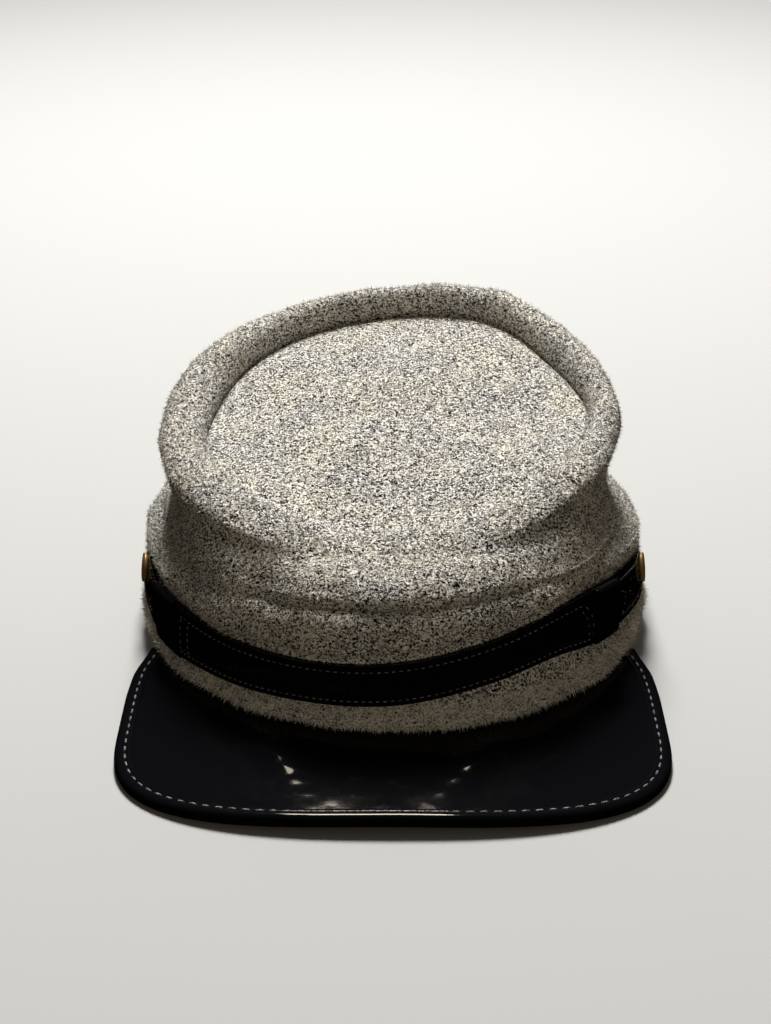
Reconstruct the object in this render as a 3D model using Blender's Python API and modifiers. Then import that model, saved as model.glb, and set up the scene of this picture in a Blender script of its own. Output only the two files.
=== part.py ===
"""Kepi cap of heathered wool with a patent leather peak and chin strap.

The cap lies as it would on a table, on the front of its peak and the back of its band. It is
worked out in millimetres in its own axes, X to the right as seen from the front, Y to the back
and Z up from the lower edge of the band. The last step leans it back onto the table, flattens
what rests there and turns it into metres. A turn is an angle round the head: 0 at the front,
90 at the right, 180 at the back and 270 at the left.
"""
import math

import bmesh
import bpy
import numpy as np
from mathutils import Vector

MM = 0.001
SEGMENTS = 64
STEP = 360.0 / SEGMENTS
CLOTH = 2.4
GAP = 0.35

# Band
BAND_HALF_WIDTH = 85.5
BAND_HALF_LENGTH = 101.8
BAND_WALL = 2.5
HEM_ROUNDING = 1.2
TOP_ROUNDING = 2.2
ROUNDING_HEIGHT = 5.0
TUCK_RISE = 0.8
PRESS_MARGIN = 2.0
PRESS_RAMP = 2.8
LEAN_FROM = 24.0
LEAN_POWER = 1.5
TOP_FOLD = 1.2

# Crown and top
RIM_SLOPE = math.radians(15.0)
RIM_CENTRE_Y = -3.0
RIM_CENTRE_Z = 66.3
ROLL_STEPS = 7
TOP_PILLOW = 1.6
TOP_RINGS = (0.35, 0.7, 0.92, 1.0)
WALL_SHARES = (0.3, 0.7)

# Peak
PEAK_HALF_WIDTH = 82.5
PEAK_FORWARD = 140.5
PEAK_CORNER_FROM = 93.0
PEAK_CORNER_POWER = 2.9
PEAK_TAPER_FROM = 75.0
PEAK_REAR = 48.0
PEAK_REAR_INSET = 2.3
PEAK_SLOPE = math.radians(10.0)
PEAK_THICKNESS = 2.0
PEAK_TURN = 62.0
PEAK_TUCK = 2.6
PEAK_STATIONS = 40
PEAK_SHARES = (0.0, 0.14, 0.42, 0.71, 1.0)
PLATE_INSET = 2.5

# Binding: inward distance from the peak's outline and height from its middle plane
BINDING_OUTER = ((5.2, 2.1), (1.8, 2.1), (0.3, 0.9), (0.3, -0.9), (1.8, -2.1), (5.2, -2.1))
BINDING_INNER = ((5.2, 1.25), (2.2, 1.25), (1.25, 0.5), (1.25, -0.5), (2.2, -1.25), (5.2, -1.25))
BINDING_REAR_STATIONS = 1

# Strap, keepers and buttons
UNDER_STRAP = 1.3
OUTER_STRAP = 1.4
STRAP_CROWN = 0.3
UNDER_STRAP_ENDS = (-15, 15)
OUTER_STRAP_ENDS = (-10, 9)
KEEPERS = {"keeper_left": (-11, -9), "keeper_right": (8, 10)}
KEEPER_LEATHER = 0.9
KEEPER_BACK = 0.6
KEEPER_ROOM = 0.3
KEEPER_CORNER = 1.2
KEEPER_CHAMFER = 0.2
BUTTON_STEP = 13.5
BUTTON_RADIUS = 5.0
BUTTON_DOME = 2.4
BUTTON_EDGE = 0.8
SHANK_RADIUS = 1.1
SHANK_HOLE = 1.5
CUTTER_DEPTH = 8.0
BUTTON_LIP = 0.3

REST_DEPTH = 0.4

# The strap's middle above the hem, its width, and how far it presses the band in.
STRAP = (
    ("turn", "middle", "width", "press"),
    (0, 15.2, 13.2, 1.6),
    (20, 19.9, 13.4, 1.8),
    (35, 23.9, 14.6, 2.3),
    (45, 24.4, 15.6, 2.8),
    (58, 23.6, 16.0, 3.4),
    (80, 22.2, 16.0, 3.4),
    (104, 21.0, 16.0, 0.0),
    (256, 21.0, 16.0, 0.0),
    (280, 21.6, 16.0, 3.4),
    (298, 19.8, 16.0, 3.4),
    (310, 17.6, 15.6, 2.8),
    (322, 15.4, 14.6, 2.3),
    (340, 14.3, 13.2, 1.8),
)

# The band's height, and how far its soft upper edge leans in.
BAND = (
    ("turn", "height", "lean"),
    (0, 37.0, 0.8),
    (30, 38.4, 1.6),
    (58, 39.0, 4.4),
    (90, 38.2, 13.0),
    (130, 37.0, 9.0),
    (180, 38.0, 3.5),
    (230, 37.0, 6.0),
    (270, 36.0, 9.0),
    (302, 34.4, 3.8),
    (330, 35.4, 1.6),
)

# The soft roll round the top, in the plane of the rim: its outer radius, its lift off that
# plane, its width, the height of its crest, the depth of its underside, the level of the top
# at the seam, and the angle where the wall below runs into it.
ROLL = (
    ("turn", "outer", "lift", "width", "crest", "under", "top", "join"),
    (0, 78.5, 0.0, 15.3, 1.6, 2.5, 0.6, 40),
    (30, 78.0, 0.1, 15.5, 2.2, 4.2, 0.5, -15),
    (60, 73.4, 0.4, 12.4, 4.5, 5.4, 0.1, -40),
    (90, 73.3, 0.0, 8.8, 6.5, 6.0, -0.5, -60),
    (120, 74.7, -0.3, 12.4, 6.7, 6.3, -0.8, -62),
    (150, 77.4, 1.6, 11.9, 6.8, 6.7, -1.2, -62),
    (180, 73.8, -0.6, 9.8, 7.0, 7.0, -1.5, -62),
    (210, 71.5, -1.9, 10.5, 7.2, 6.7, -1.2, -62),
    (240, 72.8, -1.7, 14.5, 7.3, 6.3, -0.8, -62),
    (270, 75.2, -2.3, 15.3, 7.5, 6.0, -0.5, -60),
    (300, 79.6, -0.9, 15.0, 5.5, 5.6, 0.1, -40),
    (330, 81.5, -0.2, 17.5, 2.4, 4.4, 0.5, -15),
)

# How far the wall sinks in between the band and the roll, and how far it sags.
NECK = (
    ("turn", "inset", "sag"),
    (0, 0.0, -1.5),
    (14, 1.5, 0.5),
    (28, 3.0, 2.0),
    (60, 4.0, 1.0),
    (90, 4.4, 0.0),
    (125, 2.0, -2.0),
    (150, 3.0, -1.0),
    (180, 0.8, -3.0),
    (215, 3.0, -1.0),
    (240, 1.6, -2.0),
    (270, 3.4, 0.0),
    (300, 4.0, 1.4),
    (330, 4.0, 2.6),
    (345, 2.0, 1.4),
)

COLOURS = {
    "wool": ((0.27, 0.255, 0.225, 1.0), 0.95, 0.0),
    "wool_top": ((0.30, 0.285, 0.25, 1.0), 0.95, 0.0),
    "patent": ((0.010, 0.010, 0.012, 1.0), 0.12, 0.0),
    "patent_edge": ((0.012, 0.012, 0.014, 1.0), 0.18, 0.0),
    "brass": ((0.72, 0.50, 0.18, 1.0), 0.28, 1.0),
}


def clear_scene():
    """Take every object out of the scene."""
    for obj in list(bpy.data.objects):
        bpy.data.objects.remove(obj, do_unlink=True)


def smooth(value):
    """Ease from 0 to 1."""
    value = np.clip(value, 0.0, 1.0)
    return value * value * (3.0 - 2.0 * value)


def read(table, name, turn):
    """Read a table's column at each turn, on a smooth closed curve through its rows."""
    column = table[0].index(name)
    knots = np.array([row[0] for row in table[1:]], float)
    values = np.array([row[column] for row in table[1:]], float)
    knots = np.concatenate([knots[-2:] - 360.0, knots, knots[:2] + 360.0])
    values = np.concatenate([values[-2:], values, values[:2]])
    slopes = np.gradient(values, knots)
    at = np.mod(np.degrees(turn), 360.0)
    low = np.clip(np.searchsorted(knots, at, side="right") - 1, 0, len(knots) - 2)
    span = knots[low + 1] - knots[low]
    share = (at - knots[low]) / span
    ease = share * share * (3.0 - 2.0 * share)
    start = share * (1.0 - share) ** 2 * span * slopes[low]
    finish = share * share * (share - 1.0) * span * slopes[low + 1]
    return values[low] * (1.0 - ease) + values[low + 1] * ease + start + finish


def grid_turns(first=0, last=SEGMENTS - 1):
    """Turns of the stations that every ring and strap shares."""
    return np.radians(np.arange(first, last + 1) * STEP)


def oval(turn):
    """Point and outward direction in plan on the band's oval."""
    x = BAND_HALF_WIDTH * np.sin(turn)
    y = -BAND_HALF_LENGTH * np.cos(turn)
    out_x = np.sin(turn) / BAND_HALF_WIDTH
    out_y = -np.cos(turn) / BAND_HALF_LENGTH
    length = np.hypot(out_x, out_y)
    return x, y, out_x / length, out_y / length


def strap_edges(turn):
    """Heights of the strap's lower and upper edge."""
    middle = read(STRAP, "middle", turn)
    half = read(STRAP, "width", turn) / 2.0
    return middle - half, middle + half


def band_face(turn, height, outward=0.0):
    """Points on the band's outer face, moved straight out by a distance."""
    x, y, out_x, out_y = oval(turn)
    low, high = strap_edges(turn)
    beyond = np.maximum(low - height, height - high) - PRESS_MARGIN
    offset = outward - read(STRAP, "press", turn) * (1.0 - smooth(beyond / PRESS_RAMP))
    offset = offset - HEM_ROUNDING * np.clip(1.0 - height / ROUNDING_HEIGHT, 0.0, 1.0) ** 2
    full = read(BAND, "height", turn)
    below_top = np.clip(1.0 - (full - height) / ROUNDING_HEIGHT, 0.0, 1.0)
    offset = offset - TOP_ROUNDING * below_top ** 2
    rise = np.clip((height - LEAN_FROM) / (full - LEAN_FROM), 0.0, 1.0)
    offset = offset - read(BAND, "lean", turn) * rise ** LEAN_POWER
    return np.stack([x + out_x * offset, y + out_y * offset, height + 0.0 * x], -1)


def band_heights(turn):
    """Heights of the band's rows: hem, either side of the pressed stretch, and top."""
    low, high = strap_edges(turn)
    full = read(BAND, "height", turn)
    above = np.minimum(high + PRESS_MARGIN + PRESS_RAMP, full - TOP_FOLD)
    return [np.zeros_like(turn), low - PRESS_MARGIN - PRESS_RAMP, low - PRESS_MARGIN,
            high + PRESS_MARGIN, above, full]


def band_rows(turn, outward=0.0):
    """The band's rows of points."""
    return np.array([band_face(turn, height, outward) for height in band_heights(turn)])


def rim_point(turn, radius, height):
    """Points at a radius in the plane of the rim and a height above it."""
    along = -radius * np.cos(turn)
    x = radius * np.sin(turn)
    y = RIM_CENTRE_Y + along * math.cos(RIM_SLOPE) - height * math.sin(RIM_SLOPE)
    z = RIM_CENTRE_Z + along * math.sin(RIM_SLOPE) + height * math.cos(RIM_SLOPE)
    return np.stack([x, y, z], -1)


def roll_shape(turn):
    """Middle radius, half width, and first and last angle of the roll at each turn."""
    half = read(ROLL, "width", turn) / 2.0
    middle = read(ROLL, "outer", turn) - half
    share = np.clip(read(ROLL, "top", turn) / read(ROLL, "crest", turn), -0.5, 0.9)
    return middle, half, np.radians(read(ROLL, "join", turn)), math.pi - np.arcsin(share)


def roll_rows(turn):
    """The roll's rows, from the wall over the crest and down to the seam with the top."""
    middle, half, first, last = roll_shape(turn)
    lift = read(ROLL, "lift", turn)
    crest = read(ROLL, "crest", turn)
    under = read(ROLL, "under", turn)
    rows = []
    for share in np.linspace(0.0, 1.0, ROLL_STEPS + 1):
        angle = first + (last - first) * share
        height = lift + np.sin(angle) * np.where(np.sin(angle) > 0.0, crest, under)
        rows.append(rim_point(turn, middle + half * np.cos(angle), height))
    seam = middle + half * np.cos(last)
    rows.append(rim_point(turn, seam, lift + read(ROLL, "top", turn) - CLOTH))
    return rows


def crown_rows(turn):
    """The crown's outer rows: tucked in the band, up the wall, over the roll to the seam."""
    hem = band_rows(turn, -BAND_WALL - GAP - 0.05)[3:]
    rise = hem[2] - hem[1]
    hem[2] += rise * (TUCK_RISE / rise[:, 2:])
    roll = roll_rows(turn)
    out_x, out_y = oval(turn)[2:]
    inset = read(NECK, "inset", turn)
    sag = read(NECK, "sag", turn)
    wall = []
    for share in WALL_SHARES:
        row = hem[2] * (1.0 - share) + roll[0] * share
        depth = math.sin(math.pi * share)
        row[:, 0] -= out_x * inset * depth
        row[:, 1] -= out_y * inset * depth
        row[:, 2] -= sag * depth
        wall.append(row)
    return np.array(list(hem) + wall + roll)


def ring_normals(rows):
    """Outward normals of a closed ring of rows."""
    along = np.roll(rows, -1, axis=1) - np.roll(rows, 1, axis=1)
    across = np.gradient(rows, axis=0)
    normal = np.cross(along, across)
    return normal / np.linalg.norm(normal, axis=2, keepdims=True)


def peak_outline():
    """Points and outward directions along the peak's edge, from the left rear to the right."""
    quarter = np.linspace(0.0, math.pi / 2.0, 241)
    power = 2.0 / PEAK_CORNER_POWER
    front_x = PEAK_HALF_WIDTH * np.sin(quarter) ** power
    front_y = -PEAK_CORNER_FROM - (PEAK_FORWARD - PEAK_CORNER_FROM) * np.cos(quarter) ** power
    side_y = np.linspace(-PEAK_CORNER_FROM, -PEAK_REAR, 60)[1:]
    taper = np.clip((side_y + PEAK_TAPER_FROM) / (PEAK_TAPER_FROM - PEAK_REAR), 0.0, 1.0) ** 1.5
    side_x = PEAK_HALF_WIDTH - PEAK_REAR_INSET * taper
    half = np.stack([np.concatenate([front_x, side_x]), np.concatenate([front_y, side_y])], -1)
    line = np.concatenate([half[:0:-1] * (-1.0, 1.0), half])
    length = np.concatenate([[0.0], np.cumsum(np.linalg.norm(np.diff(line, axis=0), axis=1))])
    at = np.linspace(0.0, length[-1], PEAK_STATIONS + 1)
    points = np.stack([np.interp(at, length, line[:, 0]), np.interp(at, length, line[:, 1])], -1)
    along = np.gradient(points, axis=0)
    along /= np.linalg.norm(along, axis=1, keepdims=True)
    return points, np.stack([along[:, 1], -along[:, 0]], -1)


def peak_height(distance):
    """Height of the peak's upper face at a distance out from the band."""
    return -GAP - math.tan(PEAK_SLOPE) * np.maximum(distance, 0.0)


def peak_rows():
    """Upper face of the peak's plate, in rows from under the band to its edge."""
    turn = np.radians(np.linspace(-PEAK_TURN, PEAK_TURN, PEAK_STATIONS + 1))
    x, y, out_x, out_y = oval(turn)
    points, outward = peak_outline()
    inner = np.stack([x - out_x * PEAK_TUCK, y - out_y * PEAK_TUCK], -1)
    edge = points - outward * PLATE_INSET
    edge[0, 1] = points[0, 1]
    edge[-1, 1] = points[-1, 1]
    rows = []
    for share in PEAK_SHARES:
        plan = inner * (1.0 - share) + edge * share
        distance = np.linalg.norm(plan - inner, axis=1) - PEAK_TUCK
        rows.append(np.column_stack([plan, peak_height(distance)]))
    return np.array(rows), inner


def binding_rows(section, inner):
    """The binding's rows: a section carried along the peak's edge."""
    points, outward = peak_outline()
    distance = np.linalg.norm(points - inner, axis=1) - PEAK_TUCK
    middle = peak_height(distance) - PEAK_THICKNESS / 2.0
    cosine = math.cos(PEAK_SLOPE)
    sine = math.sin(PEAK_SLOPE)
    rows = []
    for inward, height in section:
        plan = points + outward * (height * sine - inward * cosine)
        rows.append(np.column_stack([plan, middle + height * cosine + inward * sine]))
    keep = slice(BINDING_REAR_STATIONS, PEAK_STATIONS + 1 - BINDING_REAR_STATIONS)
    return np.array(rows)[:, keep]


def strap_lift(turn):
    """Distance between the band and the lower strap, wider where a keeper goes between."""
    at = np.degrees(turn) / STEP
    lift = np.full_like(at, GAP)
    for first, last in KEEPERS.values():
        away = np.maximum(first - at, at - last)
        room = KEEPER_BACK + KEEPER_ROOM
        lift = np.maximum(lift, GAP + room * (1.0 - smooth(away / 2.0)))
    return lift


def strap_solid(ends, base, leather, crown):
    """A strap's outer and inner rows, at a height above its lift off the band."""
    turn = grid_turns(*ends)
    low, high = strap_edges(turn)
    start = strap_lift(turn) + base
    outer = [band_face(turn, low, start + leather), None, band_face(turn, high, start + leather)]
    inner = [band_face(turn, low, start), None, band_face(turn, high, start)]
    inner[1] = (inner[0] + inner[2]) / 2.0
    out_x, out_y = oval(turn)[2:]
    outer[1] = (outer[0] + outer[2]) / 2.0
    outer[1][:, 0] += out_x * crown
    outer[1][:, 1] += out_y * crown
    return np.array(outer), np.array(inner)


def keeper_solid(ends):
    """A keeper's loop: its outer and inner face round both straps, closed up in section."""
    turn = grid_turns(*ends)
    low, high = strap_edges(turn)
    outer_face = GAP + KEEPER_BACK + 3.0 * KEEPER_ROOM + UNDER_STRAP + OUTER_STRAP + STRAP_CROWN
    outside = (
        (low, -KEEPER_ROOM - KEEPER_LEATHER, KEEPER_ROOM),
        (low, -KEEPER_ROOM - KEEPER_LEATHER, outer_face + KEEPER_CHAMFER),
        (low, KEEPER_CORNER, outer_face + KEEPER_LEATHER),
        (high, -KEEPER_CORNER, outer_face + KEEPER_LEATHER),
        (high, KEEPER_ROOM + KEEPER_LEATHER, outer_face + KEEPER_CHAMFER),
        (high, KEEPER_ROOM + KEEPER_LEATHER, KEEPER_ROOM),
    )
    back = KEEPER_ROOM + KEEPER_BACK
    inside = (
        (low, -KEEPER_ROOM, back),
        (low, -KEEPER_ROOM, outer_face - KEEPER_ROOM),
        (low, KEEPER_CORNER, outer_face),
        (high, -KEEPER_CORNER, outer_face),
        (high, KEEPER_ROOM, outer_face - KEEPER_ROOM),
        (high, KEEPER_ROOM, back),
    )
    out_x, out_y = oval(turn)[2:]
    faces = []
    for section in (outside, inside):
        rows = []
        for edge, shift, outward in section:
            row = band_face(turn, edge, 0.0)
            row[:, 0] += out_x * outward
            row[:, 1] += out_y * outward
            row[:, 2] += shift
            rows.append(row)
        faces.append(np.array(rows))
    return faces


def grid_faces(rows, columns, start, wrap, flip):
    """Quads of a grid of points laid out row after row."""
    faces = []
    last = columns if wrap else columns - 1
    for i in range(rows - 1):
        for j in range(last):
            k = (j + 1) % columns
            a, b = start + i * columns + j, start + i * columns + k
            c, d = start + (i + 1) * columns + k, start + (i + 1) * columns + j
            faces.append((a, d, c, b) if flip else (a, b, c, d))
    return faces


def wall_mesh(outer, inner, wrap):
    """A closed wall between an outer and an inner face of the same rows."""
    rows, columns = outer.shape[:2]
    points = np.concatenate([outer.reshape(-1, 3), inner.reshape(-1, 3)])
    half = rows * columns
    faces = grid_faces(rows, columns, 0, wrap, False) + grid_faces(rows, columns, half, wrap, True)
    last = columns if wrap else columns - 1
    top = (rows - 1) * columns
    for j in range(last):
        k = (j + 1) % columns
        faces.append((j, half + j, half + k, k))
        faces.append((top + j, top + k, half + top + k, half + top + j))
    if not wrap:
        for i in range(rows - 1):
            a, b = i * columns, (i + 1) * columns
            faces.append((a, b, half + b, half + a))
            a, b = a + columns - 1, b + columns - 1
            faces.append((a, half + a, half + b, b))
    return points, faces


def disc_mesh(rings, centre, thickness):
    """A round sheet from its centre point and its rings, with its lower face a thickness down."""
    count = rings.shape[1]
    upper = np.concatenate([centre[None], rings.reshape(-1, 3)])
    down = np.array([0.0, math.sin(RIM_SLOPE), -math.cos(RIM_SLOPE)]) * thickness
    points = np.concatenate([upper, upper + down])
    half = len(upper)
    faces = []
    for j in range(count):
        k = (j + 1) % count
        faces.append((0, 1 + j, 1 + k))
        faces.append((half, half + 1 + k, half + 1 + j))
        edge = 1 + (rings.shape[0] - 1) * count
        faces.append((edge + j, half + edge + j, half + edge + k, edge + k))
    faces += grid_faces(rings.shape[0], count, 1, True, False)
    faces += grid_faces(rings.shape[0], count, half + 1, True, True)
    return points, faces


def top_rings(turn):
    """Rings of the crown's top, pillowed a little, and its centre."""
    middle, half, _, last = roll_shape(turn)
    edge = middle + half * np.cos(last) - GAP
    level = read(ROLL, "lift", turn) + read(ROLL, "top", turn)
    centre = float(level.mean()) + TOP_PILLOW
    rings = []
    for share in TOP_RINGS:
        height = level * share ** 2 + centre * (1.0 - share ** 2)
        rings.append(rim_point(turn, edge * share, height))
    return np.array(rings), rim_point(np.zeros(1), np.zeros(1), np.full(1, centre))[0]


def lean_angle(back, front):
    """The lean at which the back of the hem and the front of the peak touch the table."""
    low, high = 0.0, math.radians(10.0)
    for _ in range(50):
        middle = (low + high) / 2.0
        heights = [(points @ (0.0, -math.sin(middle), math.cos(middle))).min()
                   for points in (back, front)]
        if heights[0] > heights[1]:
            low = middle
        else:
            high = middle
    return (low + high) / 2.0


def make_material(name, key):
    """A plain material for one piece."""
    colour, roughness, metallic = COLOURS[key]
    material = bpy.data.materials.new(name)
    material.use_nodes = True
    shader = material.node_tree.nodes["Principled BSDF"]
    shader.inputs["Base Color"].default_value = colour
    shader.inputs["Roughness"].default_value = roughness
    shader.inputs["Metallic"].default_value = metallic
    material.diffuse_color = colour
    return material


def make_object(name, mesh, key, collection):
    """Put a mesh in the scene as a named piece."""
    obj = bpy.data.objects.new(name, mesh)
    obj.data.materials.append(make_material(name + "_finish", key))
    collection.objects.link(obj)
    return obj


def make_piece(name, points, faces, key, collection):
    """A closed piece from points in metres, its faces turned out."""
    mesh = bpy.data.meshes.new(name)
    mesh.from_pydata(points.tolist(), [], faces)
    mesh.update()
    build = bmesh.new()
    build.from_mesh(mesh)
    bmesh.ops.recalc_face_normals(build, faces=build.faces[:])
    build.to_mesh(mesh)
    build.free()
    return make_object(name, mesh, key, collection)


def strap_frame(step):
    """Middle of the strap's outer face between two stations, and its outward direction."""
    ends = (math.floor(step), math.ceil(step))
    outer = strap_solid(ends, 0.0, UNDER_STRAP, 0.0)[0]
    centre = outer[1].mean(axis=0)
    along = outer[1, 1] - outer[1, 0]
    across = outer[2].mean(axis=0) - outer[0].mean(axis=0)
    normal = np.cross(along, across)
    return centre, normal / np.linalg.norm(normal)


def button_profile():
    """Half outline of a side button with its shank, from the shank's end to the crown."""
    shank_end = -(GAP + UNDER_STRAP)
    lip = GAP + BUTTON_EDGE
    outline = [(0.0, shank_end), (SHANK_RADIUS, shank_end), (SHANK_RADIUS, GAP),
               (BUTTON_RADIUS - BUTTON_LIP, GAP), (BUTTON_RADIUS, GAP + BUTTON_EDGE / 2.0),
               (BUTTON_RADIUS - BUTTON_LIP, lip)]
    for share in (0.2, 0.4, 0.6, 0.8):
        angle = share * math.pi / 2.0
        radius = (BUTTON_RADIUS - 2.0 * BUTTON_LIP) * math.cos(angle)
        outline.append((radius, lip + (BUTTON_DOME - BUTTON_EDGE) * math.sin(angle)))
    outline.append((0.0, GAP + BUTTON_DOME))
    return outline


def make_button(name, place, direction, collection):
    """A domed button turned round its shank."""
    mesh = bpy.data.meshes.new(name)
    outline = [(x * MM, 0.0, z * MM) for x, z in button_profile()]
    mesh.from_pydata(outline, [(i, i + 1) for i in range(len(outline) - 1)], [])
    button = make_object(name, mesh, "brass", collection)
    turned = button.modifiers.new("turned", "SCREW")
    turned.axis = "Z"
    turned.steps = 20
    turned.render_steps = 20
    turned.use_merge_vertices = True
    turned.merge_threshold = 0.00001
    turned.use_normal_calculate = True
    place_on(button, place, direction)
    return button


def place_on(obj, place, direction):
    """Stand an object at a place with its Z axis along a direction."""
    obj.location = Vector(place)
    obj.rotation_euler = Vector(direction).to_track_quat("Z", "Y").to_euler()


def make_hole(piece, name, place, direction, cutters):
    """Cut the shank's hole through the strap."""
    bpy.ops.mesh.primitive_cylinder_add(vertices=12, radius=SHANK_HOLE * MM, depth=CUTTER_DEPTH * MM)
    cutter = bpy.context.active_object
    cutter.name = name
    for owner in list(cutter.users_collection):
        owner.objects.unlink(cutter)
    cutters.objects.link(cutter)
    cutter.hide_render = True
    cutter.display_type = "WIRE"
    place_on(cutter, place, direction)
    cut = piece.modifiers.new(name, "BOOLEAN")
    cut.operation = "DIFFERENCE"
    cut.solver = "EXACT"
    cut.object = cutter


def soft_shapes():
    """Every sewn piece in the cap's own axes: its points, faces and colour."""
    turn = grid_turns()
    crown = crown_rows(turn)
    band = band_rows(turn)
    peak, inner = peak_rows()
    lower = peak - (0.0, 0.0, PEAK_THICKNESS)
    binding = [binding_rows(section, inner) for section in (BINDING_OUTER, BINDING_INNER)]
    under = strap_solid(UNDER_STRAP_ENDS, 0.0, UNDER_STRAP, 0.0)
    outer = strap_solid(OUTER_STRAP_ENDS, UNDER_STRAP + KEEPER_ROOM, OUTER_STRAP, STRAP_CROWN)
    rings, centre = top_rings(turn)
    shapes = {
        "crown": wall_mesh(crown, crown - ring_normals(crown) * CLOTH, True) + ("wool",),
        "crown_top": disc_mesh(rings, centre, CLOTH) + ("wool_top",),
        "band": wall_mesh(band, band_rows(turn, -BAND_WALL), True) + ("wool",),
        "peak": wall_mesh(peak, lower, False) + ("patent",),
        "peak_binding": wall_mesh(binding[0], binding[1], False) + ("patent_edge",),
        "chin_strap_under": wall_mesh(under[0], under[1], False) + ("patent",),
        "chin_strap": wall_mesh(outer[0], outer[1], False) + ("patent",),
    }
    for name, ends in KEEPERS.items():
        shapes[name] = keeper_mesh(ends) + ("patent",)
    return shapes


def keeper_mesh(ends):
    """A keeper as a closed loop of leather, joined where its section comes round."""
    outer, inner = keeper_solid(ends)
    sections, columns = outer.shape[:2]
    points = np.concatenate([outer.reshape(-1, 3), inner.reshape(-1, 3)])
    half = sections * columns
    faces = []
    for i in range(sections):
        k = (i + 1) % sections
        for j in range(columns - 1):
            a, b = i * columns + j, i * columns + j + 1
            c, d = k * columns + j + 1, k * columns + j
            faces.append((a, b, c, d))
            faces.append((half + a, half + d, half + c, half + b))
        for j in (0, columns - 1):
            a, d = i * columns + j, k * columns + j
            faces.append((a, d, half + d, half + a))
    return points, faces


def main():
    """Build the cap."""
    clear_scene()
    shapes = soft_shapes()
    lean = lean_angle(shapes["band"][0], shapes["peak_binding"][0])
    turn_back = np.array([[1.0, 0.0, 0.0],
                          [0.0, math.cos(lean), math.sin(lean)],
                          [0.0, -math.sin(lean), math.cos(lean)]])
    everything = np.concatenate([shape[0] for shape in shapes.values()]) @ turn_back.T
    low, high = everything.min(axis=0), everything.max(axis=0)
    centre = np.array([(low[0] + high[0]) / 2.0, (low[1] + high[1]) / 2.0, low[2] + REST_DEPTH])

    def stand(points):
        placed = points @ turn_back.T - centre
        placed[..., 2] = np.maximum(placed[..., 2], 0.0)
        return placed * MM

    cap = bpy.data.collections.new("kepi_cap")
    cutters = bpy.data.collections.new("cutters")
    for collection in (cap, cutters):
        bpy.context.scene.collection.children.link(collection)
    pieces = {}
    for name, (points, faces, key) in shapes.items():
        pieces[name] = make_piece(name, stand(points), faces, key, cap)
    for side, sign in (("left", -1.0), ("right", 1.0)):
        place, direction = strap_frame(sign * BUTTON_STEP)
        place = stand(place[None])[0]
        direction = turn_back @ direction
        make_button("button_" + side, place, direction, cap)
        make_hole(pieces["chin_strap_under"], "shank_hole_" + side, place, direction, cutters)


main()
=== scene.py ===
"""Looks of the kepi cap: heathered wool, patent leather, thread and gilt buttons.

Shapes are worked out in millimetres in the cap's own axes, X to the right as seen from the
front, Y to the back and Z up from the band's lower edge, and then put into the frame. A turn is
an angle round the head: 0 at the front, 90 at the right, 180 at the back and 270 at the left.
"""
import math

import bpy
import numpy as np
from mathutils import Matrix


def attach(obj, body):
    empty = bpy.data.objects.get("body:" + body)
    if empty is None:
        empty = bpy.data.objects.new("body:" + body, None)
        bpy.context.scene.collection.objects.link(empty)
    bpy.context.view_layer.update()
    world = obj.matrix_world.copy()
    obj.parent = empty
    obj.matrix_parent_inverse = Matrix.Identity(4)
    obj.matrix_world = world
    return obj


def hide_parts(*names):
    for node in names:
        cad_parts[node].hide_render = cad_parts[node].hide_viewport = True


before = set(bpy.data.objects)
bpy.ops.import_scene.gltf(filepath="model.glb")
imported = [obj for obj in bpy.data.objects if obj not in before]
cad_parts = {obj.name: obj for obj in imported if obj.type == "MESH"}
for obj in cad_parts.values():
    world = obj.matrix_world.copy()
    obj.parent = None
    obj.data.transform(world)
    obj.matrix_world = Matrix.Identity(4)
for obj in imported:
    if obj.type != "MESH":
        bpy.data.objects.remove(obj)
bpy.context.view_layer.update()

MM = 0.001
TAU = 2.0 * math.pi

# Where the cap's own axes lie in the frame
LEAN = math.radians(2.924)
BAND_CENTRE = (0.0, 16.821, 4.731)

# The camera: its distance, its angle above the band's plane, the photo's size and the focal
# length in pixels, and the pixel at which the band's centre lies
CAMERA_DISTANCE = 650.0
CAMERA_ABOVE = math.radians(24.0)
PHOTO_WIDTH, PHOTO_HEIGHT = 771, 1024
FOCAL_PIXELS = 1888.0
CENTRE_PIXEL = (394.0, 590.7)

# Wool
STATIONS = 520
FRONT_CROWDING = 0.3
CLOTH = 2.4
BAND_HALF_WIDTH = 85.5
BAND_HALF_LENGTH = 101.8
BAND_WALL = 2.5
HEM_ROUNDING = 1.2
ROUNDING_HEIGHT = 5.0
LEAN_FROM = 24.0
LEAN_POWER = 1.5
HEM_LIFT_HEIGHT = 9.0
PRESS_MARGIN = 1.2
PRESS_RAMP = 3.6
TUCK_GAP = 0.4
TUCK_DEPTH = 9.0
CREASE_WIDTH = 0.7

# Where the wall leaves the band's edge flush with it, and the shares of the wall's height at which
# it puffs and folds over the band in front
FLUSH_LEAVE = 15.0
FLUSH_LEAVE_SPAN = 60.0
FLUSH_PUFF = 0.4
FLUSH_CLOSING = 0.9
FOLD_PLACE = 0.13
PUFF_PLACE = 0.06
FOLD_WIDTH = 0.09
FOLD_LAP = 0.3
SWELL_START = 0.11
SWELL_POWER = 1.4
FRONT_ROUND = math.radians(74.0)

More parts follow.
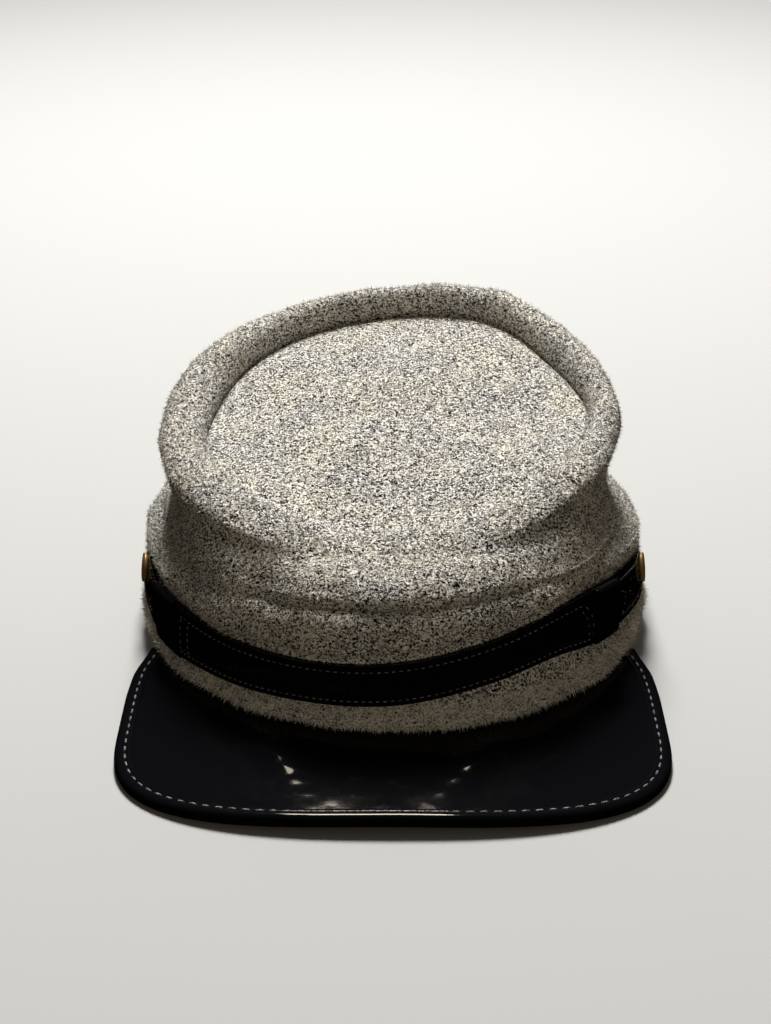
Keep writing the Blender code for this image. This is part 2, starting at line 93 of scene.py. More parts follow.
# The sloping rim, the top and the short seam in front
RIM_SLOPE = math.radians(15.0)
RIM_CENTRE_Y = -3.0
RIM_CENTRE_Z = 66.3
RIM_DOWN = np.array([0.0, math.sin(RIM_SLOPE), -math.cos(RIM_SLOPE)])
TOP_PILLOW = 1.6
SEAM_PLACE = 1.0
SEAM_BELOW_RIM = 15.0
SEAM_GROOVE_WIDTH = 0.75
SEAM_RIDGE_PLACE = 2.0
SEAM_RIDGE = 0.35
RELAX_PASSES = 60

# Loose fibres: shares of their length, steepest rise, half widths and distance off the cloth
FIBRE_LENGTHS = (0.5, 1.5)
FIBRE_STEEPEST = 1.4
FIBRE_HALF_WIDTHS = (0.07, 0.15)
FIBRE_OFF = 0.03

# Rows of points over each stretch of wool, and how they crowd towards its start
TUCK_ROWS = 4
LIP_ROWS = 5
WALL_ROWS = 44
ROLL_ROWS = 44
CREASE_ROWS = 6
TOP_ROWS = 60
BAND_ROWS = 56
EDGE_ROWS = 7
INSIDE_ROWS = 14
# The band's rows that carry the hem's fuzz, whose lighter tone is painted light along the hem
HEM_FUZZ_PAINTED_LIGHT_ROWS = slice(2, EDGE_ROWS + 12)
WALL_CROWDING = 1.25
TOP_CROWDING = 1.6

# Peak
PEAK_HALF_WIDTH = 82.5
PEAK_FORWARD = 140.5
PEAK_CORNER_FROM = 93.0
PEAK_CORNER_POWER = 2.9
PEAK_TAPER_FROM = 75.0
PEAK_REAR = 46.0
PEAK_REAR_INSET = 2.3
PEAK_HORN = 2.0
PEAK_HORN_LENGTH = 16.0
PEAK_SLOPE = math.radians(10.0)
PEAK_THICKNESS = 2.0
PEAK_TURN = 62.0
PEAK_TUCK = 2.6
PEAK_STATIONS = 361
PEAK_ROWS = 40
PEAK_GAP = 0.35
PLATE_INSET = 2.5
BINDING_LEG = 5.2
BINDING_HALF_HEIGHT = 2.1
BINDING_STITCH = 3.6
BINDING_PITCH = 3.9

# The binding's groove for its stitches, the step down to its flat leg, and the slot for the plate
BINDING_GROOVE = 0.16
BINDING_GROOVE_WIDTH = 0.42
BINDING_STEP = 0.55
BINDING_SLACK = 0.25
BINDING_SLOT = 2.3

# Two soft buckles in the peak: where each lies across and how it slants, and then their size
BUCKLES = ((-30.5, -0.5), (22.0, 0.55))
BUCKLE_WIDTH = 5.5
BUCKLE_LENGTH = 11.0
BUCKLE_PLACE = -110.0
BUCKLE_RIPPLE = 0.06
BUCKLE_RIPPLE_PLACE = -118.0
BUCKLE_RIPPLE_LENGTH = 13.0
BUCKLE_RIPPLE_PITCH = 5.5

# Strap, keepers and buttons, whose places round the head are in steps
STEP = 360.0 / 64
STRAP_BASE = 0.2
UNDER_STRAP = 1.1
OUTER_STRAP = 1.1
STRAP_PAD = 0.35
UNDER_STRAP_ENDS = (-14.6, 14.6)
STRAP_TIP = 1.4
OUTER_STRAP_ENDS = (-9.6, 8.8)
KEEPERS = {"keeper_left": (-10.9, -9.1), "keeper_right": (8.2, 9.7)}
KEEPER_SLANT = {"keeper_left": -0.003, "keeper_right": 0.0}
KEEPER_LEATHER = 0.6
KEEPER_BACK = 0.5
KEEPER_ROOM = 0.1
KEEPER_STATIONS = 26
KEEPER_POINTS = 96
STRAP_HALF = 7.0
STRAP_STITCH = 2.0
STRAP_PITCH = 2.15
STRAP_STATIONS = 260
STRAP_EDGE = 0.7
STRAP_PAD_RAMP = 2.6
STRAP_GROOVE = 0.28
STRAP_GROOVE_WIDTH = 0.4
BUTTON_STEP = 13.8
BUTTON_RISE = 1.2
BUTTON_RADIUS = 4.9
BUTTON_DOME = 1.3
BUTTON_DOME_EDGE = 0.75
BUTTON_DOME_SHARE = 0.84
BUTTON_RIM_SHARE = 0.92
BUTTON_RIM_HALF_SHARE = 0.08
BUTTON_RIM_HALF = 0.5
BUTTON_BACK = 0.05
SHANK_RADIUS = 1.1
BUTTON_SPOKES = 48

# Stitches and specks: length, width and height, and their rings and spokes of points
BINDING_THREAD = (2.5, 0.7, 0.55)
STRAP_THREAD = (1.3, 0.5, 0.4)
SPECK_SIZE = (1.3, 0.6, 0.3)
STITCH_RINGS = 5
STITCH_SPOKES = 6

# Rows of stitches on the straps: from one station to another, at these shares of the half width,
# on the outer strap's face (1) or on the lower strap's (0).
STRAP_ROWS = (
    (-8.9, 7.9, -1.0, -1.0, 1),
    (-8.9, 7.5, 1.0, 1.0, 1),
    (-8.8, -8.8, -1.0, 1.0, 1),
    (-8.35, -8.35, -1.0, 0.9, 1),
    (8.0, 7.95, -1.0, 0.0, 1),
    (7.95, 7.6, 0.1, 1.0, 1),
    (7.75, 7.7, -0.85, 0.0, 1),
    (7.7, 7.35, 0.1, 0.85, 1),
    (-14.0, -11.4, 1.0, 1.0, 0),
    (-14.0, -11.2, 0.6, 0.6, 0),
    (-14.0, -11.9, -1.0, -1.0, 0),
    (-11.2, -12.6, 0.9, -0.9, 0),
    (9.5, 12.8, 1.0, 1.0, 0),
    (10.4, 12.8, -1.0, -1.0, 0),
    (9.5, 10.9, 1.0, 0.1, 0),
    (10.9, 10.4, 0.1, -1.0, 0),
)

# The naps: fibres, seed, length, how much they rise and how much lighter than the cloth they are. The
# hem's fuzz is painted lighter, as painted light along the band's lower edge.
NAPS = (
    ("crown_nap", 165000, 11, 1.3, 0.4, 0.0),
    ("top_nap", 95000, 12, 0.9, 0.25, 0.0),
    ("band_nap", 145000, 13, 1.4, 0.5, 0.0),
    # The hem's fuzz is lighter than the cloth as painted light on the hem
    ("hem_fuzz_painted_light", 44000, 14, 2.0, 0.6, 0.4),
)

# The floor's half width in metres.
FLOOR_HALF = 3.0

# Area lights, in metres and watts: place, target, size, power, colour and whether the leather
# mirrors them.
CAP_MIDDLE = (0.0, 0.0, 0.04)
WHITE = (1.0, 1.0, 1.0)
LIGHTS = (
    ("overhead", (-0.05, 0.86, 1.38), CAP_MIDDLE, (0.36, 0.50), 34.0, WHITE, False),
    ("gleam", (-0.05, 0.76, 1.44), CAP_MIDDLE, (0.36, 0.50), 15.0, (1.0, 0.95, 0.86), True),
    ("far_floor", (0.0, 2.2, 1.5), (0.0, 2.1, 0.0), (3.0, 1.2), 14.0, WHITE, False),
    ("front_fill", (0.3, -1.5, 0.4), (0.0, 0.0, 0.05), (1.2, 0.8), 2.5, (1.0, 0.86, 0.64), False),
)

# The wool's colours by tone and the tints of its clouds, from dark to light.
WOOL_COLOURS = (
    (0.462, (0.006, 0.006, 0.007)),
    (0.483, (0.085, 0.080, 0.070)),
    (0.497, (0.420, 0.400, 0.360)),
    (0.512, (0.960, 0.930, 0.860)),
)
WOOL_TINTS = ((0.38, (0.98, 0.99, 1.02)), (0.62, (1.01, 1.0, 0.97)))

# Patent leather on the peak, its bound edge and the straps: its ripple, roughness, gloss and
# clear coat.
PATENT = {
    "patent_peak": (1.0, 0.08, 0.12, 0.0),
    "patent_edge": (1.0, 0.07, 0.3, 0.12),
    "patent_strap": (0.5, 0.09, 0.2, 0.0),
}

# Specks of lint on the top: their places from above and which way they lie.
SPECKS = ((-4.3, 4.9, 0.9), (-3.3, 3.4, 0.5), (26.1, 11.9, 1.3), (33.4, 3.1, 0.2))

# The strap's middle above the hem, its width, how far it presses the band in, and how much more
# it does so at its upper edge than at its middle.
STRAP = (
    ("turn", "middle", "width", "press", "tilt"),
    (0, 15.2, 13.2, 1.6, 0.0),
    (20, 19.6, 13.3, 1.8, 0.0),
    (35, 22.8, 14.6, 2.1, 0.0),
    (45, 22.6, 16.8, 2.2, 0.2),
    (56, 21.4, 16.2, 2.2, 0.5),
    (64, 20.0, 16.0, 2.2, 0.8),
    (76, 17.4, 15.2, 2.1, 1.0),
    (104, 16.5, 16.0, 0.0, 0.0),
    (256, 16.5, 16.0, 0.0, 0.0),
    (284, 16.6, 15.0, 2.1, 1.0),
    (298, 15.2, 16.0, 2.2, 0.8),
    (310, 14.7, 16.1, 2.2, 0.4),
    (322, 13.8, 14.9, 2.1, 0.0),
    (340, 13.9, 13.2, 1.8, 0.0),
)

# The band's height, how far its soft upper edge leans in and rounds over, how far its hem rises
# and flares, how far it is drawn in at the sides, and how far the crown puffs out over it.
BAND = (
    ("turn", "height", "lean", "round", "rise", "flare", "draw", "puff"),
    (0, 37.0, 0.8, 2.4, 0.0, 1.0, 0.0, 0.0),
    (30, 38.4, 1.4, 2.0, 1.6, 1.8, 0.0, 0.0),
    (42, 38.8, 3.8, 0.6, 1.4, 1.8, 0.2, 0.0),
    (58, 39.0, 6.8, 0.4, 1.2, 1.4, 0.7, 0.0),
    (90, 38.2, 13.0, 1.0, 0.0, -2.4, 1.3, 0.8),
    (130, 37.0, 9.0, 1.2, 0.0, 0.0, 0.4, 0.8),
    (180, 38.0, 3.5, 1.2, 0.0, 0.0, 0.0, 0.8),
    (230, 37.0, 6.0, 1.2, 0.0, 0.0, 0.4, 0.8),
    (270, 36.0, 9.0, 1.0, 0.0, -2.4, 1.4, 0.8),
    (302, 34.8, 6.4, 0.4, 1.2, 1.4, 0.7, 0.0),
    (316, 35.0, 3.6, 0.6, 1.4, 1.8, 0.2, 0.0),
    (330, 35.4, 1.2, 2.0, 1.2, 1.6, 0.0, 0.0),
)

# The soft roll round the top, in the plane of the rim: its outer radius, its lift off that
# plane, its width, the height of its crest, the depth of its underside, the level of the top
# at the seam, the angle where the wall below runs into it, and the depth of the seam's crease.
ROLL = (
    ("turn", "outer", "lift", "width", "crest", "under", "top", "join", "crease"),
    (0, 80.5, -0.5, 15.3, 1.6, 2.5, 0.6, 40, 0.0),
    (15, 82.0, 1.0, 15.4, 1.8, 3.4, 0.6, 10, 0.0),
    (30, 81.5, 4.6, 15.5, 2.2, 4.4, 0.5, -20, 0.0),
    (45, 79.0, 6.6, 14.4, 3.0, 5.0, 0.3, -34, 0.0),
    (60, 76.4, 5.4, 12.4, 4.3, 5.4, 0.1, -44, 0.5),
    (75, 74.3, 2.0, 10.4, 5.7, 5.8, -0.2, -54, 1.2),
    (90, 73.3, 0.0, 8.8, 6.5, 6.0, -0.5, -60, 2.0),
    (120, 74.7, -0.3, 12.4, 6.7, 6.3, -0.8, -62, 2.6),
    (150, 77.4, 1.6, 11.9, 6.8, 6.7, -1.2, -62, 2.8),
    (180, 73.8, -0.6, 9.8, 7.0, 7.0, -1.5, -62, 2.8),
    (210, 71.5, -1.9, 10.5, 7.2, 6.7, -1.2, -62, 2.8),
    (240, 72.8, -1.7, 14.5, 7.3, 6.3, -0.8, -62, 2.6),
    (270, 75.2, -2.3, 15.3, 7.5, 6.0, -0.5, -60, 2.0),
    (285, 77.8, -0.6, 15.2, 6.6, 5.9, -0.2, -50, 1.2),
    (300, 81.0, 1.6, 15.0, 5.0, 5.6, 0.1, -40, 0.5),
    (315, 83.6, 3.0, 16.0, 3.6, 5.2, 0.3, -30, 0.0),
    (330, 84.6, 2.6, 17.0, 2.4, 4.4, 0.5, -20, 0.0),
    (345, 83.4, 0.6, 16.0, 1.8, 3.4, 0.6, 10, 0.0),
)

# How far the wall sinks in between the band and the roll and how far it sags, the angle round
# the band's upper edge where it leaves, how round its profile is, and how far it swells over the
# fold in front.
NECK = (
    ("turn", "inset", "sag", "leave", "round", "swell"),
    (0, 0.6, -0.4, 158, 1.0, 3.0),
    (9, 0.8, -0.2, 158, 1.0, 3.0),
    (18, 0.6, 0.0, 152, 0.8, 2.8),
    (26, 0.0, 0.0, 110, 0.5, 2.2),
    (33, -0.4, 0.0, 45, 0.3, 1.2),
    (42, -0.6, 0.0, 12, 0.1, 0.6),
    (60, 0.8, 0.0, 8, 0.0, 0.0),
    (90, 4.4, 0.0, 12, 0.0, 0.0),
    (125, 2.0, -2.0, 12, 0.0, 0.0),
    (150, 3.0, -1.0, 12, 0.0, 0.0),
    (180, 0.8, -3.0, 12, 0.0, 0.0),
    (215, 3.0, -1.0, 12, 0.0, 0.0),
    (240, 1.6, -2.0, 12, 0.0, 0.0),
    (270, 3.4, 0.0, 12, 0.0, 0.0),
    (300, 1.0, 0.0, 8, 0.0, 0.0),
    (316, -0.6, 0.0, 12, 0.1, 0.6),
    (325, -0.4, 0.0, 45, 0.3, 1.2),
    (331, 0.2, 0.0, 130, 0.5, 2.2),
    (338, 0.6, 0.0, 154, 0.7, 2.8),
    (349, 0.6, -0.2, 158, 1.0, 3.0),
)


# ---------------------------------------------------------------- curves and grids

def smooth(value):
    """Ease from 0 to 1: three squares less two cubes."""
    value = np.clip(value, 0.0, 1.0)
    return value * value * (3.0 - 2.0 * value)


def read(table, name, turn):
    """A table's column at each turn: a cubic between its rows, with the rows' mean slopes."""
    column = table[0].index(name)
    knots = np.array([row[0] for row in table[1:]], float)
    values = np.array([row[column] for row in table[1:]], float)
    knots = np.concatenate([knots[-2:] - 360.0, knots, knots[:2] + 360.0])
    values = np.concatenate([values[-2:], values, values[:2]])
    slopes = np.gradient(values, knots)
    at = np.mod(np.degrees(turn), 360.0)
    low = np.clip(np.searchsorted(knots, at, side="right") - 1, 0, len(knots) - 2)
    span = knots[low + 1] - knots[low]
    share = (at - knots[low]) / span
    ease = share * share * (3.0 - 2.0 * share)
    start = share * (1.0 - share) ** 2 * span * slopes[low]
    finish = share * share * (share - 1.0) * span * slopes[low + 1]
    return values[low] * (1.0 - ease) + values[low + 1] * ease + start + finish


def ring_turns():
    """Turns of the stations round the head, closer together at the front by a sine."""
    even = np.arange(STATIONS) * TAU / STATIONS
    return even - FRONT_CROWDING * np.sin(even)


def waves(points, length, height, seed):
    """Soft unevenness: a sum of twelve sine waves through space in seeded directions."""
    rng = np.random.default_rng(seed)
    total = np.zeros(points.shape[:-1])
    for _ in range(12):
        direction = rng.normal(size=3)
        direction *= TAU / (length * rng.uniform(0.6, 1.6) * np.linalg.norm(direction))
        total += np.sin(points @ direction + rng.uniform(0.0, TAU))
    return total * height / math.sqrt(6.0)


def grid_normals(grid, wrap_rows, wrap_columns):
    """Outward normals of a grid: the direction along a row crossed with that to the next row."""
    def step(axis, wrap):
        if wrap:
            return np.roll(grid, -1, axis=axis) - np.roll(grid, 1, axis=axis)
        return np.gradient(grid, axis=axis)
    normal = np.cross(step(1, wrap_columns), step(0, wrap_rows))
    return normal / np.maximum(np.linalg.norm(normal, axis=2, keepdims=True), 1e-9)


def grid_faces(rows, columns, wrap_rows=False, wrap_columns=False, start=0):
    """Quads between neighbouring points of a grid that is numbered row after row."""
    i, j = np.meshgrid(np.arange(rows if wrap_rows else rows - 1),
                       np.arange(columns if wrap_columns else columns - 1), indexing="ij")
    up, along = (i + 1) % rows, (j + 1) % columns
    corners = [i * columns + j, i * columns + along, up * columns + along, up * columns + j]
    return np.stack([corner.ravel() for corner in corners], -1) + start


def fan(centre, ring):
    """Triangles from a centre point to each pair of neighbours in a closed ring."""
    return np.stack([np.full(len(ring), centre), ring, np.roll(ring, -1)], -1)


def to_frame(points):
    """Lean points of the cap's axes back, move them into the frame, floor them, in metres."""
    x, y, z = np.moveaxis(points, -1, 0)
    back = y * math.cos(LEAN) + z * math.sin(LEAN)
    up = z * math.cos(LEAN) - y * math.sin(LEAN)
    placed = np.stack([x, back, up], -1) + BAND_CENTRE
    placed[..., 2] = np.maximum(placed[..., 2], 0.0)
    return placed * MM


# ---------------------------------------------------------------- pieces

def build_mesh(name, points, groups):
    """A mesh from points in metres and arrays of faces, each with its own corner count."""
    mesh = bpy.data.meshes.new(name)
    loops = np.concatenate([group.ravel() for group in groups]).astype(np.int32)
    sizes = np.concatenate([np.full(len(group), group.shape[1]) for group in groups])
    starts = np.concatenate([[0], np.cumsum(sizes)[:-1]]).astype(np.int32)
    mesh.vertices.add(len(points))
    mesh.vertices.foreach_set("co", np.ascontiguousarray(points, np.float32).ravel())
    mesh.loops.add(len(loops))
    mesh.loops.foreach_set("vertex_index", loops)
    mesh.polygons.add(len(sizes))
    mesh.polygons.foreach_set("loop_start", starts)
    mesh.update(calc_edges=True)
    mesh.polygons.foreach_set("use_smooth", np.ones(len(sizes), bool))
    mesh.validate()
    return mesh


def add_object(name, data):
    """An object at the origin, linked to the scene."""
    thing = bpy.data.objects.new(name, data)
    bpy.context.scene.collection.objects.link(thing)
    return thing


def add_piece(name, shape, material, nodes=()):
    """Put a shape, points and faces, in the scene, riding on the cap and standing for its nodes."""
    points, groups = shape
    mesh = build_mesh(name, to_frame(points), groups)
    mesh.materials.append(material)
    piece = add_object(name, mesh)
    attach(piece, "root")
    if nodes:
        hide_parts(*nodes)
    return piece


def add_attribute(piece, name, values):
    """Give each point of a piece a number that its material reads."""
    attribute = piece.data.attributes.new(name, "FLOAT", "POINT")
    attribute.data.foreach_set("value", values.astype(np.float32))


# ---------------------------------------------------------------- band

def oval(turn):
    """Point and outward direction in plan on the band's oval."""
    x = BAND_HALF_WIDTH * np.sin(turn)
    y = -BAND_HALF_LENGTH * np.cos(turn)
    out_x = np.sin(turn) / BAND_HALF_WIDTH
    out_y = -np.cos(turn) / BAND_HALF_LENGTH
    length = np.hypot(out_x, out_y)
    return x, y, out_x / length, out_y / length


def strap_edges(turn):
    """Heights of the strap's lower and upper edge."""
    middle = read(STRAP, "middle", turn)
    half = read(STRAP, "width", turn) / 2.0
    return middle - half, middle + half


def band_face(turn, height, outward):
    """The band's outer face: its oval, pressed in under the strap, rounded in at hem and top,
    leaning in above, and flared and lifted at the hem."""
    x, y, out_x, out_y = oval(turn)
    low, high = strap_edges(turn)
    beyond = np.maximum(low - height, height - high) - PRESS_MARGIN
    share = np.clip((2.0 * height - high - low) / (high - low), -1.0, 1.0)
    press = read(STRAP, "press", turn) + read(STRAP, "tilt", turn) * share
    offset = outward - press * (1.0 - smooth(beyond / PRESS_RAMP)) - read(BAND, "draw", turn)
    near_hem = np.clip(1.0 - height / ROUNDING_HEIGHT, 0.0, 1.0)
    flare = read(BAND, "flare", turn)
    offset = offset - HEM_ROUNDING * near_hem ** 2 + flare * smooth(1.3 * near_hem)
    full = read(BAND, "height", turn)
    below_top = np.clip(1.0 - (full - height) / ROUNDING_HEIGHT, 0.0, 1.0)
    offset = offset - read(BAND, "round", turn) * below_top ** 2
    share = np.clip((height - LEAN_FROM) / (full - LEAN_FROM), 0.0, 1.0)
    offset = offset - read(BAND, "lean", turn) * share ** LEAN_POWER
    lift = read(BAND, "rise", turn) * np.clip(1.0 - height / HEM_LIFT_HEIGHT, 0.0, 1.0) ** 2
    return np.stack([x + out_x * offset, y + out_y * offset, height + lift], -1)


def band_section():
    """The band's section as a loop: each row's share of the height, its lift above that and its
    distance inward. Up the outer face, round the upper edge, down the inner and round the hem."""
    half = BAND_WALL / 2.0
    over = np.linspace(0.0, math.pi, EDGE_ROWS + 2)[1:-1]
    up, across = half * np.sin(over), half * np.cos(over)
    outer, inner = np.zeros(BAND_ROWS), np.zeros(INSIDE_ROWS)
    share = np.concatenate([np.linspace(0.0, 1.0, BAND_ROWS), np.ones(EDGE_ROWS),
                            np.linspace(1.0, 0.0, INSIDE_ROWS), np.zeros(EDGE_ROWS)])
    lift = np.concatenate([outer, up, inner, -up])
    inward = np.concatenate([outer, half - across, inner + BAND_WALL, half + across])
    return share, lift, inward


def band_grid(turn):
    """The band's loop of rows carried round the head."""
    half = BAND_WALL / 2.0
    full = read(BAND, "height", turn)
    rows = []
    for share, lift, inward in zip(*band_section()):
        height = half + (full - 2.0 * half) * share + lift
        rows.append(band_face(turn, height, -inward))
    grid = np.array(rows)
    lumps = waves(grid, 26.0, 0.28, 3) + waves(grid, 7.0, 0.09, 4)
    return grid + grid_normals(grid, True, True) * lumps[..., None]


# ---------------------------------------------------------------- crown and top

def rim_point(turn, radius, height):
    """Points at a radius in the sloping plane of the rim and a height above it."""
    along = -radius * np.cos(turn)
    x = radius * np.sin(turn)
    y = RIM_CENTRE_Y + along * math.cos(RIM_SLOPE) - height * math.sin(RIM_SLOPE)
    z = RIM_CENTRE_Z + along * math.sin(RIM_SLOPE) + height * math.cos(RIM_SLOPE)
    return np.stack([x, y, z], -1)


def roll_shape(turn):
    """Middle radius, half width, and first and last angle of the roll at each turn."""
    half = read(ROLL, "width", turn) / 2.0
    middle = read(ROLL, "outer", turn) - half
    share = np.clip(read(ROLL, "top", turn) / read(ROLL, "crest", turn), -0.5, 0.9)
    return middle, half, np.radians(read(ROLL, "join", turn)), math.pi - np.arcsin(share)


def roll_row(turn, share):
    """One row of the roll: an ellipse's point at a share of its angles."""
    middle, half, first, last = roll_shape(turn)
    angle = first + (last - first) * share
    depth = np.where(np.sin(angle) > 0.0, read(ROLL, "crest", turn), read(ROLL, "under", turn))
    height = read(ROLL, "lift", turn) + np.sin(angle) * depth
    return rim_point(turn, middle + half * np.cos(angle), height)


def lip_row(turn, share):
    """One row over the band's upper edge: a circle round the edge's middle line, from its inner
    side to the angle where the wall leaves it. It closes its gap to the band where the wall runs
    on smoothly from the band's face."""
    half = BAND_WALL / 2.0
    leave = read(NECK, "leave", turn)
    angle = math.pi + (np.radians(leave) - math.pi) * share
    flush = 1.0 - smooth((leave - FLUSH_LEAVE) / FLUSH_LEAVE_SPAN)
    flush = flush * (1.0 - smooth(read(BAND, "puff", turn) / FLUSH_PUFF))
    reach = half + TUCK_GAP * (1.0 - FLUSH_CLOSING * flush * share ** 3)
    height = read(BAND, "height", turn) - half + reach * np.sin(angle)
    return band_face(turn, height, reach * np.cos(angle) - half)


def wall_row(turn, share, foot, head):
    """One row of the wall between its foot and the roll: straight at the sides and part of an
    ellipse in front, then sunk in, sagging and puffed, and swollen out over the fold."""
    full_round = FRONT_ROUND * share
    level = (1.0 - math.cos(full_round)) / (1.0 - math.cos(FRONT_ROUND))
    climb = math.sin(full_round) / math.sin(FRONT_ROUND)
    shares = np.array([level, level, climb]) - share
    shares = share + read(NECK, "round", turn)[:, None] * shares
    row = foot + (head - foot) * shares
    out_x, out_y = oval(turn)[2:]
    depth = math.sin(math.pi * share)
    swell = read(NECK, "swell", turn)
    rise = (1.0 - math.exp(-share / SWELL_START)) * (1.0 - share) ** SWELL_POWER
    puff = read(BAND, "puff", turn) * math.exp(-((share - PUFF_PLACE) / FOLD_WIDTH) ** 2)
    lap = FOLD_LAP * swell * math.exp(-((share - FOLD_PLACE) / FOLD_WIDTH) ** 2)
    outward = puff + lap - read(NECK, "inset", turn) * depth
    row[:, 0] += out_x * outward
    row[:, 1] += out_y * outward
    row[:, 2] += swell * rise - read(NECK, "sag", turn) * depth
    return row


def top_row(turn, share):
    """One row of the top: a low pillow that drops into the seam's crease at its edge."""
    middle, half, _, last = roll_shape(turn)
    edge = middle + half * np.cos(last)
    level = read(ROLL, "lift", turn) + read(ROLL, "top", turn)
    centre = float(level.mean()) + TOP_PILLOW
    height = level * share ** 2 + centre * (1.0 - share ** 2)
    crease = read(ROLL, "crease", turn) * np.exp(-edge * (1.0 - share) / CREASE_WIDTH)
    return rim_point(turn, edge * share, height - crease)


def shell_rows(turn):
    """The crown and top as one run of rows, from inside the band to near the top's centre,
    and the row at the seam."""
    edge = read(BAND, "height", turn) - BAND_WALL / 2.0
    inner = -BAND_WALL - TUCK_GAP
    tuck = [band_face(turn, edge - TUCK_DEPTH * (1.0 - share), inner)
            for share in np.linspace(0.0, 1.0, TUCK_ROWS)]
    lip = [lip_row(turn, share) for share in np.linspace(0.0, 1.0, LIP_ROWS + 1)[1:]]
    head = roll_row(turn, 0.0)
    wall = [wall_row(turn, share, lip[-1], head)
            for share in np.linspace(0.0, 1.0, WALL_ROWS + 1)[1:] ** WALL_CROWDING]
    roll = [roll_row(turn, share) for share in np.linspace(0.0, 1.0, ROLL_ROWS + 1)[1:]]
    drop = read(ROLL, "crease", turn)
    crease = [roll[-1] + RIM_DOWN * drop[:, None] * share
              for share in np.linspace(0.0, 1.0, CREASE_ROWS + 1)[1:]]
    shares = 1.0 - np.linspace(0.0, 1.0, TOP_ROWS + 1)[1:-1] ** TOP_CROWDING
    top = [top_row(turn, share) for share in shares]
    rows = np.array(tuck + lip + wall + roll + crease + top)
    seam = TUCK_ROWS + LIP_ROWS + WALL_ROWS + ROLL_ROWS + CREASE_ROWS - 1
    return relax(rows, seam, turn), seam


def relax(rows, seam, turn):
    """Even the rows out: each moves towards the mean of its neighbours, most at the front,
    where the top runs on into the roll, and not at all in the deep part of the crease."""
    index = np.arange(len(rows))[:, None]
    front = smooth(1.0 - read(ROLL, "crease", turn) / 0.7)[None]
    near_seam = np.exp(-((index - seam) / 12.0) ** 2)
    near_join = np.exp(-((index - TUCK_ROWS - LIP_ROWS - WALL_ROWS) / 5.0) ** 2)
    weight = np.clip(front * near_seam + near_join, 0.0, 1.0)
    weight[: TUCK_ROWS + LIP_ROWS + 2] = 0.0
    weight[-2:] = 0.0
    for _ in range(RELAX_PASSES):
        mean = (np.roll(rows, 1, axis=0) + np.roll(rows, -1, axis=0)) / 2.0
        rows = rows + 0.5 * weight[..., None] * (mean - rows)
    return rows


def front_seam(grid, turn):
    """The short seam down the middle of the crown's front, as a height off the cloth: a groove
    between two low ridges, each a bell curve across."""
    across = grid[..., 0] - SEAM_PLACE
    along = smooth((RIM_CENTRE_Z - SEAM_BELOW_RIM - grid[..., 2]) / 3.0)
    groove = np.exp(-(across / SEAM_GROOVE_WIDTH) ** 2)
    ridge = np.exp(-(np.abs(across) - SEAM_RIDGE_PLACE) ** 2)
    return along * (np.cos(turn) > 0.0)[None] * (SEAM_RIDGE * ridge - groove)


def shell_grid(turn):
    """Crown and top with their soft lumps and the front seam, the normals of the smooth form,
    and the row at the top's seam."""
    rows, seam = shell_rows(turn)
    normals = grid_normals(rows, False, True)
    index = np.arange(len(rows))[:, None]
    creased = smooth(read(ROLL, "crease", turn))[None]
    lumps = waves(rows, 30.0, 0.35, 1) + waves(rows, 8.0, 0.1, 2)
    lumps = lumps * (1.0 - creased * np.exp(-((index - seam) / 16.0) ** 2))
    fade = np.minimum(1.0, (len(rows) - 1 - index) / 6.0)
    fade = fade * smooth((index - TUCK_ROWS - LIP_ROWS + 2) / 6.0)
    lumps = (lumps + front_seam(rows, turn)) * fade
    return rows + normals * lumps[..., None], normals, seam


def crown_mesh(grid, normals, seam):
    """The crown's outer rows to the seam, and its inner face at the cloth's thickness."""
    outer = grid[: seam + 1]
    pick = np.unique(np.linspace(0, seam - CREASE_ROWS, 3 * INSIDE_ROWS).astype(int))
    inner = outer[pick] - normals[pick] * CLOTH
    return wall_mesh(outer, inner)


def wall_mesh(outer, inner):
    """A closed wall from outer rows and fewer inner rows, joined along both edges."""
    rows, columns = outer.shape[:2]
    start = rows * columns
    points = np.concatenate([outer.reshape(-1, 3), inner.reshape(-1, 3)])
    faces = [grid_faces(rows, columns, wrap_columns=True),
             grid_faces(len(inner), columns, wrap_columns=True, start=start)[:, ::-1]]
    j = np.arange(columns)
    k = (j + 1) % columns
    top, inner_top = (rows - 1) * columns, start + (len(inner) - 1) * columns
    faces.append(np.stack([j, start + j, start + k, k], -1))
    faces.append(np.stack([top + j, top + k, inner_top + k, inner_top + j], -1))
    return points, faces


def top_mesh(grid, seam):
    """The top's rows from the seam to its centre, with its lower face, closed at the edge."""
    upper = grid[seam:]
    rows, columns = upper.shape[:2]
    centre = upper[-1].mean(axis=0)
    down = RIM_DOWN * CLOTH
    pick = np.unique(np.linspace(2, rows - 1, INSIDE_ROWS).astype(int))
    lower = upper[pick] + down
    points = np.concatenate([upper.reshape(-1, 3), centre[None],
                             lower.reshape(-1, 3), (centre + down)[None]])
    pole = rows * columns
    start = pole + 1
    end = start + len(pick) * columns
    j = np.arange(columns)
    k = (j + 1) % columns
    faces = [grid_faces(rows, columns, wrap_columns=True),
             grid_faces(len(pick), columns, wrap_columns=True, start=start)[:, ::-1],
             np.stack([j, start + j, start + k, k], -1),
             fan(pole, pole - columns + j), fan(end, end - columns + j)[:, ::-1]]
    return points, faces


# ---------------------------------------------------------------- nap

